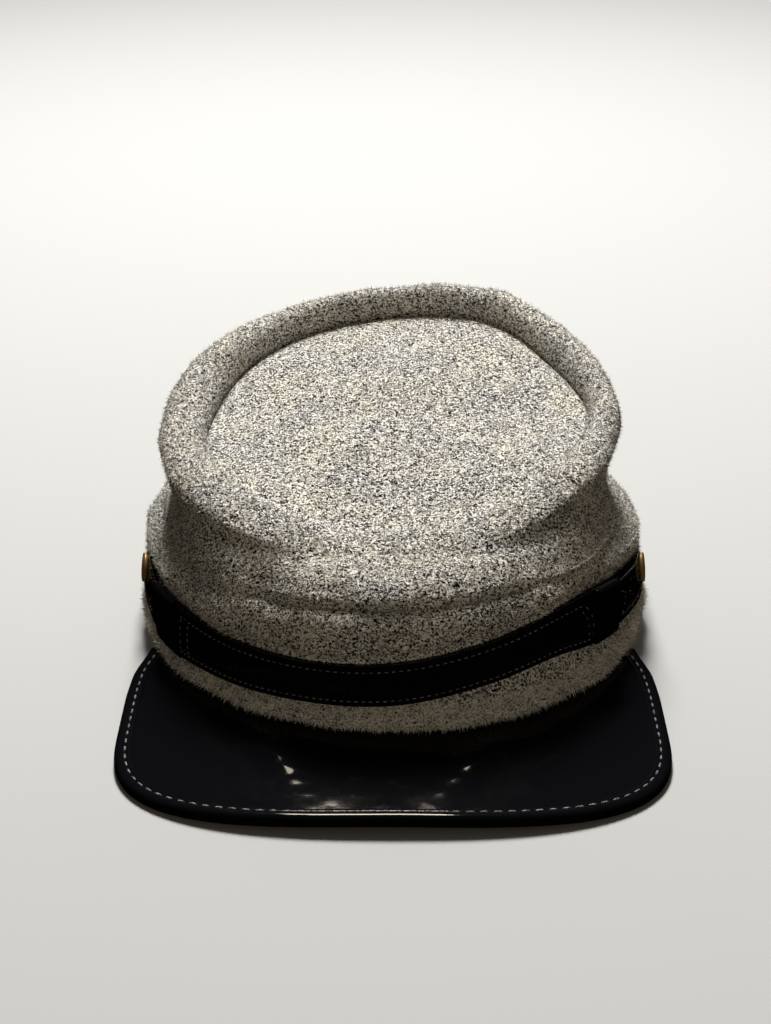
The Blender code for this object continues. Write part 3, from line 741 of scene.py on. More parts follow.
def nap_points(grid, normals, count, rng, length, lift):
    """Seeded fibres on a grid: roots spread by area, each a long thin triangle.
    A root is a blend of a quad's corners; the fibre runs along the cloth and rises."""
    faces = grid_faces(grid.shape[0], grid.shape[1], wrap_columns=True)
    flat, flat_normals = grid.reshape(-1, 3), normals.reshape(-1, 3)
    corner = flat[faces]
    area = np.linalg.norm(np.cross(corner[:, 1] - corner[:, 0], corner[:, 3] - corner[:, 0]),
                          axis=1)
    chosen = rng.choice(len(faces), count, p=area / area.sum())
    u, v = rng.random((2, count, 1))
    blend = np.stack([(1 - u) * (1 - v), u * (1 - v), u * v, (1 - u) * v], 1)
    root = (flat[faces[chosen]] * blend).sum(1)
    normal = (flat_normals[faces[chosen]] * blend).sum(1)
    normal /= np.maximum(np.linalg.norm(normal, axis=1, keepdims=True), 1e-9)
    tangent = rng.normal(size=(count, 3))
    tangent -= normal * (tangent * normal).sum(1, keepdims=True)
    tangent /= np.linalg.norm(tangent, axis=1, keepdims=True)
    reach = length * rng.uniform(*FIBRE_LENGTHS, (count, 1))
    angle = np.minimum(lift * rng.exponential(1.0, (count, 1)), FIBRE_STEEPEST)
    along = tangent * np.cos(angle) + normal * np.sin(angle)
    twist = rng.uniform(-1.0, 1.0, (count, 1))
    side = np.cross(normal, tangent) + normal * twist
    wide = rng.uniform(*FIBRE_HALF_WIDTHS, (count, 1))
    side *= wide / np.linalg.norm(side, axis=1, keepdims=True)
    root = root + normal * FIBRE_OFF
    strip = np.stack([root - side, root + side, root + along * reach], 1)
    return strip.reshape(-1, 3), [np.arange(3 * count).reshape(-1, 3)]


def add_nap(grid, normals, material, name, count, seed, length, lift, light):
    """A piece of loose fibres over a grid, each with its own tone, lighter by a given share; on the
    hem's fuzz that lighter tone is painted light.
    """
    rng = np.random.default_rng(seed)
    piece = add_piece(name, nap_points(grid, normals, count, rng, length, lift), material)
    add_attribute(piece, "tone", np.repeat(rng.random(count), 3) + light)


# ---------------------------------------------------------------- peak and binding

def peak_outline():
    """Points and outward directions along the peak's edge: a superellipse round the front and
    sides that taper to the rear, in even steps of length."""
    quarter = np.linspace(0.0, math.pi / 2.0, 721)
    power = 2.0 / PEAK_CORNER_POWER
    front_x = PEAK_HALF_WIDTH * np.sin(quarter) ** power
    front_y = -PEAK_CORNER_FROM - (PEAK_FORWARD - PEAK_CORNER_FROM) * np.cos(quarter) ** power
    side_y = np.linspace(-PEAK_CORNER_FROM, -PEAK_REAR, 180)[1:]
    taper = np.clip((side_y + PEAK_TAPER_FROM) / (PEAK_TAPER_FROM - PEAK_REAR), 0.0, 1.0) ** 1.5
    horn = smooth((side_y + PEAK_REAR + PEAK_HORN_LENGTH) / PEAK_HORN_LENGTH)
    side_x = PEAK_HALF_WIDTH - PEAK_REAR_INSET * taper - PEAK_HORN * horn
    half = np.stack([np.concatenate([front_x, side_x]), np.concatenate([front_y, side_y])], -1)
    line = np.concatenate([half[:0:-1] * (-1.0, 1.0), half])
    run = run_length(line)
    points = along_line(np.linspace(0.0, run[-1], PEAK_STATIONS), run, line)
    along = np.gradient(points, axis=0)
    along /= np.linalg.norm(along, axis=1, keepdims=True)
    return points, np.stack([along[:, 1], -along[:, 0]], -1)


def peak_height(distance):
    """Height of the peak's upper face at a distance out from the band."""
    return -PEAK_GAP - math.tan(PEAK_SLOPE) * np.maximum(distance, 0.0)


def buckles(plan):
    """Two soft bumps in the peak, each a slanting bell shape with faint cross ripples on it."""
    total = np.zeros(len(plan))
    along = (plan[:, 1] - BUCKLE_PLACE) / BUCKLE_LENGTH
    behind = plan[:, 1] - BUCKLE_RIPPLE_PLACE
    for centre, slant in BUCKLES:
        across = (plan[:, 0] - centre - slant * behind) / BUCKLE_WIDTH
        total += np.exp(-across ** 2 - along ** 2)
        fade = np.exp(-(1.6 * across) ** 2 - (behind / BUCKLE_RIPPLE_LENGTH) ** 2)
        total += BUCKLE_RIPPLE * fade * np.sin(behind * TAU / BUCKLE_RIPPLE_PITCH)
    return total


def peak_inner():
    """Where the peak starts, tucked under the band."""
    turn = np.radians(np.linspace(-PEAK_TURN, PEAK_TURN, PEAK_STATIONS))
    x, y, out_x, out_y = oval(turn)
    return np.stack([x - out_x * PEAK_TUCK, y - out_y * PEAK_TUCK], -1)


def peak_grid():
    """The plate as a closed loop of rows: out along its upper face and back along its lower."""
    points, outward = peak_outline()
    inner = peak_inner()
    edge = points - outward * PLATE_INSET
    edge[0, 1], edge[-1, 1] = points[0, 1], points[-1, 1]
    upper, lower = PEAK_ROWS, PEAK_ROWS // 3
    shares = np.concatenate([np.linspace(0.0, 1.0, upper), np.linspace(1.0, 0.0, lower)])
    below = np.concatenate([np.zeros(upper), np.full(lower, PEAK_THICKNESS)])
    grid = []
    for share, down in zip(shares, below):
        plan = inner * (1.0 - share) + edge * share
        distance = np.linalg.norm(plan - inner, axis=1) - PEAK_TUCK
        flat = np.column_stack([plan, np.zeros(len(plan))])
        ripple = waves(flat, 34.0, 0.12, 9) + buckles(plan)
        grid.append(np.column_stack([plan, peak_height(distance) - down + ripple]))
    return np.array(grid)[::-1]


def binding_section():
    """The binding's section as a loop, as distance in from the edge and height: a flat leg to
    the stitches, a groove, a round bead over the edge, and the same below and inside."""
    leg, high = BINDING_LEG, BINDING_HALF_HEIGHT
    inward = np.linspace(leg, high, 22)
    groove = BINDING_GROOVE * np.exp(-((inward - BINDING_STITCH) / BINDING_GROOVE_WIDTH) ** 2)
    step = BINDING_STEP * (1.0 - smooth((leg - inward) / (leg - high)))
    edge = np.minimum(1.0, np.sqrt(np.clip((leg - inward) / 0.5, 0.0, 1.0)))
    slot = PEAK_THICKNESS / 2.0 + BINDING_SLACK
    top = slot + (high - step - groove - slot) * edge
    angle = np.linspace(math.pi / 2.0, -math.pi / 2.0, 21)[1:-1]
    bead = np.stack([high - high * np.cos(angle), high * np.sin(angle)], -1)
    upper = np.stack([inward, top], -1)
    lower = upper[::-1] * (1.0, -1.0)
    inside = [(leg, -slot), (BINDING_SLOT, -slot), (BINDING_SLOT, slot), (leg, slot)]
    return np.concatenate([upper, bead, lower, inside])


def binding_place(inward, height):
    """Points of the binding at a distance in from the peak's edge and a height off its middle."""
    points, outward = peak_outline()
    distance = np.linalg.norm(points - peak_inner(), axis=1) - PEAK_TUCK
    middle = peak_height(distance) - PEAK_THICKNESS / 2.0
    cosine, sine = math.cos(PEAK_SLOPE), math.sin(PEAK_SLOPE)
    plan = points + outward * (height * sine - inward * cosine)
    return np.column_stack([plan, middle + height * cosine + inward * sine])


def ring_mesh(grid):
    """A loop of rows carried round columns that close on themselves."""
    return grid.reshape(-1, 3), [grid_faces(*grid.shape[:2], wrap_rows=True, wrap_columns=True)]


def tube_mesh(grid):
    """A loop of rows carried along columns, closed with a flat end at each side."""
    rows, columns = grid.shape[:2]
    ends = np.arange(rows) * columns
    return grid.reshape(-1, 3), [grid_faces(rows, columns, wrap_rows=True),
                                 ends[None], (ends + columns - 1)[None, ::-1]]


# ---------------------------------------------------------------- straps and keepers

def strap_lift(turn):
    """Distance between the band and the lower strap, wider where a keeper goes between."""
    at = np.degrees(turn) / STEP
    lift = np.full_like(at, STRAP_BASE)
    for first, last in KEEPERS.values():
        away = np.maximum(first - at, at - last)
        lift = np.maximum(lift, STRAP_BASE + (KEEPER_BACK + KEEPER_ROOM) * (1 - smooth(away / 2.0)))
    return lift


def strap_face(across, leather, pad):
    """Height of a strap's face at a share of its half width: rounded edges and a soft pad."""
    inside = STRAP_HALF * (1.0 - np.abs(across))
    from_edge = np.clip(inside / STRAP_EDGE, 0.0, 1.0)
    edge = np.sqrt(np.clip(1.0 - (1.0 - from_edge) ** 2, 0.0, 1.0))
    return leather * (0.25 + 0.75 * edge) + pad * smooth((inside - STRAP_STITCH) / STRAP_PAD_RAMP)


def strap_section(leather, pad):
    """The strap's section as a loop, as distance across and height: its face with a groove for
    each row of stitches, and its back."""
    across = np.sin(np.linspace(-math.pi / 2.0, math.pi / 2.0, 45))
    inside = STRAP_HALF * (1.0 - np.abs(across))
    groove = STRAP_GROOVE * np.exp(-((inside - STRAP_STITCH) / STRAP_GROOVE_WIDTH) ** 2)
    outer = np.stack([across, strap_face(across, leather, pad) - groove], -1)
    back = np.stack([np.linspace(1.0, -1.0, 7), np.zeros(7)], -1)
    return np.concatenate([outer, back])


def strap_grid(ends, base, leather, pad, tip):
    """A strap's section carried round the band, with its ends rounded over a tip's length."""
    at = np.linspace(*ends, STRAP_STATIONS)
    turn = np.radians(at * STEP)
    low, high = strap_edges(turn)
    start = strap_lift(turn) + base
    from_end = np.clip(np.minimum(at - ends[0], ends[1] - at) / tip, 0.02, 1.0)
    half = (high - low) / 2.0 * np.sqrt(1.0 - (1.0 - from_end) ** 2)
    rows = [band_face(turn, (low + high) / 2.0 + across * half, start + height)
            for across, height in strap_section(leather, pad)]
    return np.array(rows)


def keeper_grid(ends, slant):
    """A keeper: a rounded loop round both straps, out along its face and back along its inside.
    Its section is a flattened superellipse; the slant turns its upper part round the head."""
    turn = np.radians(np.linspace(*ends, KEEPER_STATIONS) * STEP)
    low, high = strap_edges(turn)
    middle, half = (low + high) / 2.0, (high - low) / 2.0 + KEEPER_ROOM
    back = STRAP_BASE + KEEPER_BACK
    face = back + 3.0 * KEEPER_ROOM + UNDER_STRAP + OUTER_STRAP + STRAP_PAD
    centre, deep = (face + back) / 2.0, (face - back) / 2.0
    angle = np.linspace(0.0, TAU, KEEPER_POINTS + 1)[:-1]
    round_x = np.sign(np.cos(angle)) * np.abs(np.cos(angle)) ** 0.3
    round_y = np.sign(np.sin(angle)) * np.abs(np.sin(angle)) ** 0.6
    end = np.linspace(-1.0, 1.0, KEEPER_STATIONS)
    soften = np.sqrt(np.clip(1.0 - np.abs(end) ** 14, 0.0, 1.0)) * 0.8 + 0.2
    out_x, out_y = oval(turn)[2:]
    sides = []
    for grow in (KEEPER_LEATHER, 0.0):
        rows = []
        for across, outward in zip(round_x, round_y):
            thick = grow * (0.5 + 0.5 * soften) if grow else 0.3 * (1.0 - soften)
            height = across * (half + thick)
            reach = centre + outward * (deep + np.where(outward > 0, thick, thick * 0.8))
            row = band_face(turn + slant * height, middle, 0.0)
            row[:, 0] += out_x * reach
            row[:, 1] += out_y * reach
            row[:, 2] = middle + height
            rows.append(row)
        sides.append(np.array(rows))
    return np.concatenate([sides[0], sides[1][:, ::-1]], axis=1)


# ---------------------------------------------------------------- stitches

def stitch_mesh(centre, along, normal, size):
    """Small rounded stitches: an egg shape of rings of points at each place."""
    along = along / np.linalg.norm(along, axis=1, keepdims=True)
    across = np.cross(normal, along)
    rings = np.linspace(-0.92, 0.92, STITCH_RINGS)
    round_off = np.sqrt(1.0 - rings ** 2)
    spokes = np.arange(STITCH_SPOKES) * TAU / STITCH_SPOKES
    shares = (np.repeat(rings, STITCH_SPOKES), np.outer(round_off, np.cos(spokes)).ravel(),
              np.outer(round_off, np.sin(spokes)).ravel())
    points = centre[:, None]
    for axis, share, extent in zip((along, across, normal), shares, size):
        points = points + axis[:, None] * (share * extent / 2.0)[None, :, None]
    start = len(rings) * STITCH_SPOKES * np.arange(len(centre))[:, None]
    one = grid_faces(STITCH_RINGS, STITCH_SPOKES, wrap_columns=True)
    ring = np.arange(STITCH_SPOKES)
    last = (STITCH_RINGS - 1) * STITCH_SPOKES
    ends = np.concatenate([start + ring[::-1], start + last + ring])
    return points.reshape(-1, 3), [(start[..., None] + one[None]).reshape(-1, 4), ends]


def run_length(line):
    """Distance along a line of points, from its start to each of them."""
    return np.concatenate([[0.0], np.cumsum(np.linalg.norm(np.diff(line, axis=0), axis=1))])


def along_line(at, run, values):
    """Rows of values between the points of a line, at distances along it."""
    return np.stack([np.interp(at, run, column) for column in values.T], -1)


def line_stitches(line, normal, pitch, size, sink=0.0):
    """Stitches at an even pitch along a line of points, with the normals there."""
    run = run_length(line)
    count = max(int(run[-1] / pitch), 2)
    at = (np.arange(count) + 0.5) * run[-1] / count
    facing = along_line(at, run, normal)
    facing /= np.linalg.norm(facing, axis=1, keepdims=True)
    ahead = along_line(at + 0.4, run, line) - along_line(at - 0.4, run, line)
    return stitch_mesh(along_line(at, run, line) - facing * sink, ahead, facing, size)


def join(meshes):
    """Several meshes of points and faces as one."""
    points, groups, start = [], [], 0
    for part_points, part_groups in meshes:
        points.append(part_points)
        groups += [group + start for group in part_groups]
        start += len(part_points)
    return np.concatenate(points), groups


def strap_line(first, last, across, height):
    """A line on a strap between two stations at shares of its half width, and its normals."""
    turn = np.radians(np.linspace(first, last, len(across)) * STEP)
    low, high = strap_edges(turn)
    level = (low + high) / 2.0 + across * (high - low) / 2.0
    line = band_face(turn, level, strap_lift(turn) + height)
    out_x, out_y = oval(turn)[2:]
    return line, np.stack([out_x, out_y, np.zeros(len(turn))], -1)


# ---------------------------------------------------------------- buttons

def button_mesh(step):
    """A side button: a low dome inside a rolled rim, turned round its shank."""
    turn = np.radians((step + np.array([-0.5, 0.0, 0.5])) * STEP)
    low, high = strap_edges(turn)
    middle = (low + high) / 2.0 + BUTTON_RISE
    face = strap_lift(turn) + UNDER_STRAP
    before, centre, after = band_face(turn, middle, face)
    along = after - before
    across = band_face(turn, middle + 4.0, face)[1] - band_face(turn, middle - 4.0, face)[1]
    normal = np.cross(along, across)
    normal /= np.linalg.norm(normal)
    along = along / np.linalg.norm(along)
    across = np.cross(normal, along)
    share = np.linspace(0.0, 1.0, 15)
    dome_r = BUTTON_DOME_SHARE * BUTTON_RADIUS * np.sin(share * math.pi / 2.0)
    bulge = (BUTTON_DOME - BUTTON_DOME_EDGE) * np.cos(share * math.pi / 2.0)
    dome_h = STRAP_BASE + BUTTON_DOME_EDGE + bulge
    angle = np.linspace(-0.15, 1.0, 12) * math.pi
    rim_r = BUTTON_RADIUS * (BUTTON_RIM_SHARE - BUTTON_RIM_HALF_SHARE * np.cos(angle))
    rim_h = STRAP_BASE + BUTTON_RIM_HALF * (1.0 + np.sin(angle))
    back_r = np.array([0.9 * BUTTON_RADIUS, SHANK_RADIUS, SHANK_RADIUS])
    back_h = np.array([BUTTON_BACK, BUTTON_BACK, -UNDER_STRAP])
    radius = np.concatenate([dome_r[1:], rim_r, back_r])
    height = np.concatenate([dome_h[1:], rim_h, back_h])
    spin = np.arange(BUTTON_SPOKES) * TAU / BUTTON_SPOKES
    circle = along[None] * np.cos(spin)[:, None] + across[None] * np.sin(spin)[:, None]
    rows = centre + circle[None] * radius[:, None, None] + normal * height[:, None, None]
    poles = np.array([centre + normal * dome_h[0], centre - normal * UNDER_STRAP])
    count = len(rows) * BUTTON_SPOKES
    ring = np.arange(BUTTON_SPOKES)
    faces = [grid_faces(len(rows), BUTTON_SPOKES, wrap_columns=True)[:, ::-1],
             fan(count, ring), fan(count + 1, count - BUTTON_SPOKES + ring)[:, ::-1]]
    return np.concatenate([rows.reshape(-1, 3), poles]), faces


# ---------------------------------------------------------------- materials

class Nodes:
    """A node tree being wired: each call adds one node, sets its values and links its inputs."""

    def __init__(self, tree):
        self.tree = tree

    def add(self, kind, settings=None, **inputs):
        node = self.tree.nodes.new(kind)
        for name, value in (settings or {}).items():
            setattr(node, name, value)
        for name, value in inputs.items():
            self.feed(node, name, value)
        return node

    def feed(self, node, name, value):
        socket = node.inputs[int(name[1:])] if name[0] == "_" else node.inputs[name]
        if isinstance(value, bpy.types.NodeSocket):
            self.tree.links.new(value, socket)
        else:
            socket.default_value = value

    def place(self):
        return self.add("ShaderNodeTexCoord").outputs["Object"]

    def noise(self, place, scale, detail, **inputs):
        return self.add("ShaderNodeTexNoise", None, Vector=place, Scale=scale, Detail=detail,
                        **inputs)

    def bump(self, height, strength, distance):
        return self.add("ShaderNodeBump", None, Strength=strength, Distance=distance,
                        Height=height).outputs[0]

    def math(self, operation, first, second):
        node = self.add("ShaderNodeMath", {"operation": operation}, _0=first, _1=second)
        return node.outputs[0]

    def weighted(self, first, weight, second, other_weight):
        return self.math("ADD", self.math("MULTIPLY", first, weight),
                         self.math("MULTIPLY", second, other_weight))

    def ramp(self, value, stops):
        node = self.add("ShaderNodeValToRGB", None, Fac=value)
        elements = node.color_ramp.elements
        for _ in range(len(stops) - 2):
            elements.new(0.5)
        for element, (position, colour) in zip(elements, stops):
            element.position = position
            element.color = (*colour, 1.0) if isinstance(colour, tuple) else (*(colour,) * 3, 1.0)
        return node.outputs["Color"]

    def mix(self, share, first, second, blend):
        node = self.add("ShaderNodeMix", {"data_type": "RGBA", "blend_type": blend},
                        _0=share, _6=first, _7=second)
        return node.outputs[2]


def new_group(name, inputs, outputs):
    """An empty shader group with named number inputs and named outputs."""
    group = bpy.data.node_groups.new(name, "ShaderNodeTree")
    for label, default in inputs:
        socket = group.interface.new_socket(label, in_out="INPUT", socket_type="NodeSocketFloat")
        socket.default_value = default
    for label, kind in outputs:
        group.interface.new_socket(label, in_out="OUTPUT", socket_type=kind)
    nodes = Nodes(group)
    return group, nodes, nodes.add("NodeGroupInput"), nodes.add("NodeGroupOutput")


def heather_group():
    """Heathered wool: short strands in three directions and a fine grain, warped, light over
    dark, with soft clouds and faint ribs across the cap."""
    group, nodes, given, result = new_group(
        "heather", (("Light", 0.0), ("Ribs", 0.0)),
        (("Color", "NodeSocketColor"), ("Height", "NodeSocketFloat")))
    place = nodes.place()
    drift = nodes.noise(place, 700.0, 1.0)
    shift = nodes.add("ShaderNodeVectorMath", {"operation": "MULTIPLY_ADD"},
                      _0=drift.outputs["Color"], _1=(0.0012,) * 3, _2=place).outputs[0]
    strands = []
    for turn in ((0.2, 0.3, 0.1), (1.1, 0.5, 1.2), (-0.7, 1.0, -1.1)):
        laid = nodes.add("ShaderNodeMapping", None, Vector=shift, Rotation=turn,
                         Scale=(680.0, 1900.0, 1900.0))
        noise = nodes.noise(laid.outputs[0], 1.0, 1.0, Roughness=0.6)
        strands.append(noise.outputs["Fac"])
    light = nodes.math("MAXIMUM", nodes.math("MAXIMUM", strands[0], strands[1]), strands[2])
    dark = nodes.math("MINIMUM", nodes.math("MINIMUM", strands[0], strands[1]), strands[2])
    grain = nodes.noise(shift, 1500.0, 1.0, Roughness=0.7).outputs["Fac"]
    clouds = nodes.noise(place, 60.0, 4.0).outputs["Fac"]
    ribs = nodes.add("ShaderNodeTexWave", {"wave_type": "BANDS", "bands_direction": "X"},
                     Vector=shift, Scale=400.0, Distortion=0.0)
    tone = nodes.weighted(nodes.weighted(light, 0.5, dark, 0.5), 0.55, grain, 0.45)
    for part, weight in ((clouds, 0.035), (ribs.outputs["Fac"], given.outputs["Ribs"])):
        away = nodes.math("SUBTRACT", part, 0.5)
        tone = nodes.math("ADD", tone, nodes.math("MULTIPLY", away, weight))
    tone = nodes.math("ADD", tone, given.outputs["Light"])
    colour = nodes.mix(1.0, nodes.ramp(tone, WOOL_COLOURS), nodes.ramp(clouds, WOOL_TINTS), "MULTIPLY")
    nodes.feed(result, "Color", colour)
    nodes.feed(result, "Height", tone)
    return group


def new_material(name, **values):
    """A material with a Principled shader, and its inputs' values by name, with _ for a space."""
    material = bpy.data.materials.new(name)
    material.use_nodes = True
    shader = material.node_tree.nodes["Principled BSDF"]
    for label, value in values.items():
        shader.inputs[label.replace("_", " ")].default_value = value
    return material, Nodes(material.node_tree), shader


def wool_material(name, heather, light, ribs):
    """Heathered wool cloth with a raised grain and a soft sheen."""
    material, nodes, shader = new_material(
        name, Roughness=0.95, Specular_IOR_Level=0.12, Sheen_Weight=0.2, Sheen_Roughness=0.5)
    group = nodes.add("ShaderNodeGroup", {"node_tree": heather}, Light=light, Ribs=ribs)
    nodes.feed(shader, "Base Color", group.outputs["Color"])
    nodes.feed(shader, "Normal", nodes.bump(group.outputs["Height"], 0.7, 0.0006))
    return material


def nap_material(heather):
    """Loose fibres in the wool's own colours, each a little lighter or darker by its tone."""
    material, nodes, shader = new_material("wool_fibre", Roughness=0.8, Specular_IOR_Level=0.2)
    tone = nodes.add("ShaderNodeAttribute", {"attribute_name": "tone"}).outputs["Fac"]
    light = nodes.math("MULTIPLY", nodes.math("SUBTRACT", tone, 0.46), 0.17)
    group = nodes.add("ShaderNodeGroup", {"node_tree": heather}, Light=light)
    nodes.feed(shader, "Base Color", group.outputs["Color"])
    return material


def ripple_group():
    """Patent leather's surface: long soft ripples, a fine orange peel and faint scuffs."""
    group, nodes, given, result = new_group(
        "patent_skin", (("Ripple", 1.0), ("Shine", 0.06)),
        (("Normal", "NodeSocketVector"), ("Roughness", "NodeSocketFloat")))
    place = nodes.place()
    ripple = nodes.noise(place, 55.0, 2.0).outputs["Fac"]
    peel = nodes.noise(place, 900.0, 2.0).outputs["Fac"]
    scuff = nodes.noise(place, 240.0, 6.0, Roughness=0.7).outputs["Fac"]
    height = nodes.weighted(ripple, given.outputs["Ripple"], peel, 0.02)
    nodes.feed(result, "Normal", nodes.bump(height, 0.35, 0.0012))
    marks = nodes.math("MULTIPLY", nodes.math("SUBTRACT", scuff, 0.55), 0.5)
    marks = nodes.math("MAXIMUM", marks, 0.0)
    nodes.feed(result, "Roughness", nodes.math("ADD", marks, given.outputs["Shine"]))
    return group


def patent_material(name, skin):
    """Black patent leather: a dark base with a warm gleam, and a clear coat on its bound edge."""
    ripple, shine, gloss, coat = PATENT[name]
    material, nodes, shader = new_material(
        name, Base_Color=(0.0035, 0.0035, 0.0045, 1.0), Specular_IOR_Level=gloss,
        Specular_Tint=(1.0, 0.92, 0.76, 1.0), Coat_Weight=coat, Coat_Roughness=0.03)
    group = nodes.add("ShaderNodeGroup", {"node_tree": skin}, Ripple=ripple, Shine=shine)
    nodes.feed(shader, "Roughness", group.outputs["Roughness"])
    nodes.feed(shader, "Normal", group.outputs["Normal"])
    return material


def thread_material():
    """Waxed grey thread with a fine twist."""
    material, nodes, shader = new_material("waxed_thread", Roughness=0.35)
    twist = nodes.noise(nodes.place(), 2600.0, 2.0).outputs["Fac"]
    colour = nodes.ramp(twist, ((0.42, (0.03, 0.03, 0.034)), (0.60, (0.30, 0.30, 0.31))))
    nodes.feed(shader, "Base Color", colour)
    nodes.feed(shader, "Normal", nodes.bump(twist, 0.5, 0.0002))
    return material


def brass_material():
    """Gilt brass with soft clouds of tarnish, darker and duller than the rest."""
    material, nodes, shader = new_material("gilt_brass", Metallic=0.6)
    stain = nodes.noise(nodes.place(), 500.0, 4.0).outputs["Fac"]
    colour = nodes.ramp(stain, ((0.35, (0.72, 0.42, 0.12)), (0.6, (1.0, 0.70, 0.28))))
    nodes.feed(shader, "Base Color", colour)
    nodes.feed(shader, "Roughness", nodes.ramp(stain, ((0.4, 0.40), (0.6, 0.28))))
    return material


def lint_material():
    """Dark lint, mottled by a fine grain."""
    material, nodes, shader = new_material("dark_lint", Roughness=0.9)
    fuzz = nodes.noise(nodes.place(), 4000.0, 1.0).outputs["Fac"]
    colour = nodes.ramp(fuzz, ((0.4, (0.006, 0.005, 0.005)), (0.7, (0.05, 0.045, 0.04))))
    nodes.feed(shader, "Base Color", colour)
    return material


# ---------------------------------------------------------------- camera and light

def add_camera():
    """The photograph's camera: straight in front of the cap and above the band's plane."""
    eye = to_frame(CAMERA_DISTANCE * np.array([0.0, -math.cos(CAMERA_ABOVE), math.sin(CAMERA_ABOVE)]))
    ahead = np.array(BAND_CENTRE) * MM - eye
    right = (CENTRE_PIXEL[0] - PHOTO_WIDTH / 2) / FOCAL_PIXELS
    below = (CENTRE_PIXEL[1] - PHOTO_HEIGHT / 2) / FOCAL_PIXELS
    pitch = math.atan2(ahead[2], ahead[1]) + math.atan(below)
    data = bpy.data.cameras.new("camera")
    data.lens = FOCAL_PIXELS * data.sensor_width / PHOTO_HEIGHT
    camera = add_object("camera", data)
    camera.location = eye
    camera.rotation_euler = (math.pi / 2.0 + pitch, 0.0, math.atan(right))
    data.clip_start = 0.01
    bpy.context.scene.camera = camera


def add_light(name, place, target, size, power, colour, mirrored):
    """A soft light that faces a target; one that is not mirrored leaves no gleam on leather."""
    data = bpy.data.lights.new(name, "AREA")
    data.shape = "RECTANGLE"
    data.size, data.size_y = size
    data.energy = power
    data.color = colour
    light = add_object(name, data)
    light.visible_glossy = mirrored
    light.location = place
    away = np.array(place) - np.array(target)
    flat = math.hypot(away[0], away[1])
    light.rotation_euler = (math.atan2(flat, away[2]), 0.0,
                            math.atan2(away[1], away[0]) + math.pi / 2.0)


def add_stage():
    """A plain pale floor, a dim even sky and soft lights."""
    mesh = bpy.data.meshes.new("floor")
    corners = [(x * FLOOR_HALF, y * FLOOR_HALF, 0) for x, y in ((-1, -1), (1, -1), (1, 1), (-1, 1))]
    mesh.from_pydata(corners, [], [(0, 1, 2, 3)])
    floor = add_object("floor", mesh)
    paint = new_material("floor_paint", Base_Color=(0.44, 0.44, 0.435, 1.0), Roughness=0.8)[0]
    mesh.materials.append(paint)
    floor.visible_diffuse = False
    floor.visible_glossy = False
    world = bpy.data.worlds.new("studio")
    bpy.context.scene.world = world
    world.use_nodes = True
    sky = world.node_tree.nodes["Background"]
    sky.inputs["Color"].default_value = (1.0, 0.90, 0.76, 1.0)
    sky.inputs["Strength"].default_value = 0.06
    world.cycles_visibility.glossy = False
    for light in LIGHTS:
        add_light(*light)
    bpy.context.scene.view_settings.view_transform = "Standard"


# ---------------------------------------------------------------- build

def add_wool():
    """The crown, its top, the band and their nap."""
    turn = ring_turns()
    heather = heather_group()
    cloth = wool_material("heathered_wool", heather, 0.0, 0.0)
    ribbed = wool_material("ribbed_wool", heather, 0.0, 0.03)
    fibre = nap_material(heather)
    grid, normals, seam = shell_grid(turn)
    add_piece("crown_cloth", crown_mesh(grid, normals, seam), cloth, ("crown",))
    add_piece("top_cloth", top_mesh(grid, seam), ribbed, ("crown_top",))
    band = band_grid(turn)
    add_piece("band_cloth", ring_mesh(band), cloth, ("band",))
    outside = np.r_[-EDGE_ROWS:BAND_ROWS + EDGE_ROWS]
    lower, lower_normals = band[outside], grid_normals(band, True, True)[outside]
    wall = slice(TUCK_ROWS + LIP_ROWS, seam - CREASE_ROWS)
    top = slice(seam + 2, None)
    fields = ((grid[wall], normals[wall]), (grid[top], normals[top]), (lower, lower_normals),
              (lower[HEM_FUZZ_PAINTED_LIGHT_ROWS], lower_normals[HEM_FUZZ_PAINTED_LIGHT_ROWS]))
    for (points, facing), nap in zip(fields, NAPS):
        add_nap(points, facing, fibre, *nap)


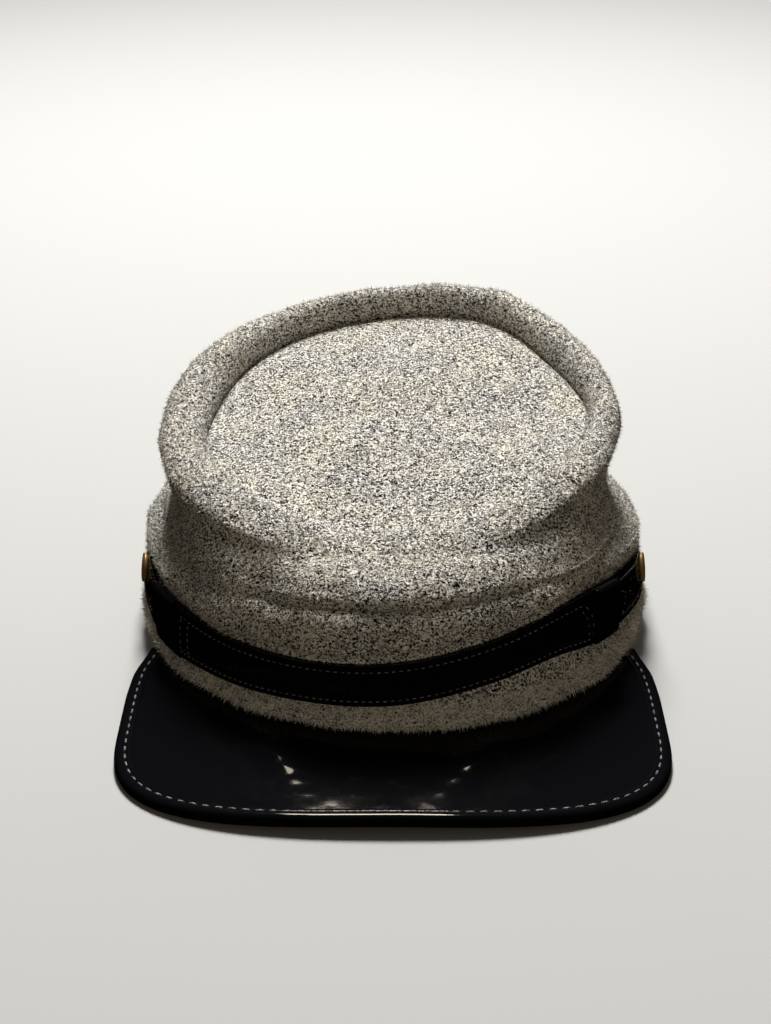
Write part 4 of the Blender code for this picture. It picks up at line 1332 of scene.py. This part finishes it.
def add_peak(skin, thread):
    """The peak, its bound edge and the stitches that hold the binding."""
    add_piece("peak_plate", tube_mesh(peak_grid()), patent_material("patent_peak", skin),
              ("peak",))
    binding = np.array([binding_place(inward, height) for inward, height in binding_section()])
    add_piece("bound_edge", tube_mesh(binding[::-1]), patent_material("patent_edge", skin),
              ("peak_binding",))
    line = binding_place(BINDING_STITCH, BINDING_HALF_HEIGHT - 0.3)
    above = binding_place(BINDING_STITCH, BINDING_HALF_HEIGHT + 0.7)
    stitches = line_stitches(line, above - line, BINDING_PITCH, BINDING_THREAD)
    add_piece("peak_stitches", stitches, thread)


def add_straps(skin, thread):
    """The two straps, the keepers round them and the strap's rows of stitches."""
    leather = patent_material("patent_strap", skin)
    base = UNDER_STRAP + KEEPER_ROOM
    under = strap_grid(UNDER_STRAP_ENDS, 0.0, UNDER_STRAP, 0.0, STRAP_TIP)
    outer = strap_grid(OUTER_STRAP_ENDS, base, OUTER_STRAP, STRAP_PAD, 0.1)
    add_piece("strap_under", tube_mesh(under), leather, ("chin_strap_under",))
    add_piece("strap_outer", tube_mesh(outer), leather, ("chin_strap",))
    for name, ends in KEEPERS.items():
        keeper = ring_mesh(keeper_grid(ends, KEEPER_SLANT[name]))
        add_piece(name + "_loop", keeper, leather, (name,))
    edge = 1.0 - STRAP_STITCH / STRAP_HALF
    rows = []
    for first, last, low, high, level in STRAP_ROWS:
        across = np.linspace(low, high, 200) * edge
        height = (base + strap_face(across, OUTER_STRAP, STRAP_PAD) if level
                  else strap_face(across, UNDER_STRAP, 0.0))
        line, normal = strap_line(first, last, across, height)
        rows.append(line_stitches(line, normal, STRAP_PITCH, STRAP_THREAD, 0.05))
    add_piece("strap_stitches", join(rows), thread)


def add_specks():
    """A few dark specks of lint on the top."""
    x, y, lie = np.array(SPECKS).T
    turn = np.arctan2(x, RIM_CENTRE_Y - y)
    centre = rim_point(turn, np.hypot(x, y - RIM_CENTRE_Y), TOP_PILLOW - 0.1)
    along = np.column_stack([np.cos(lie), np.sin(lie), 0.3 * np.sin(lie)])
    specks = stitch_mesh(centre, along, np.tile(-RIM_DOWN, (len(x), 1)), SPECK_SIZE)
    add_piece("lint_specks", specks, lint_material())


def add_buttons():
    """The two gilt side buttons."""
    brass = brass_material()
    for name, step in (("button_left", -BUTTON_STEP), ("button_right", BUTTON_STEP)):
        add_piece(name + "_gilt", button_mesh(step), brass, (name,))


add_camera()
add_stage()
add_wool()
skin_group = ripple_group()
thread_look = thread_material()
add_peak(skin_group, thread_look)
add_straps(skin_group, thread_look)
add_specks()
add_buttons()
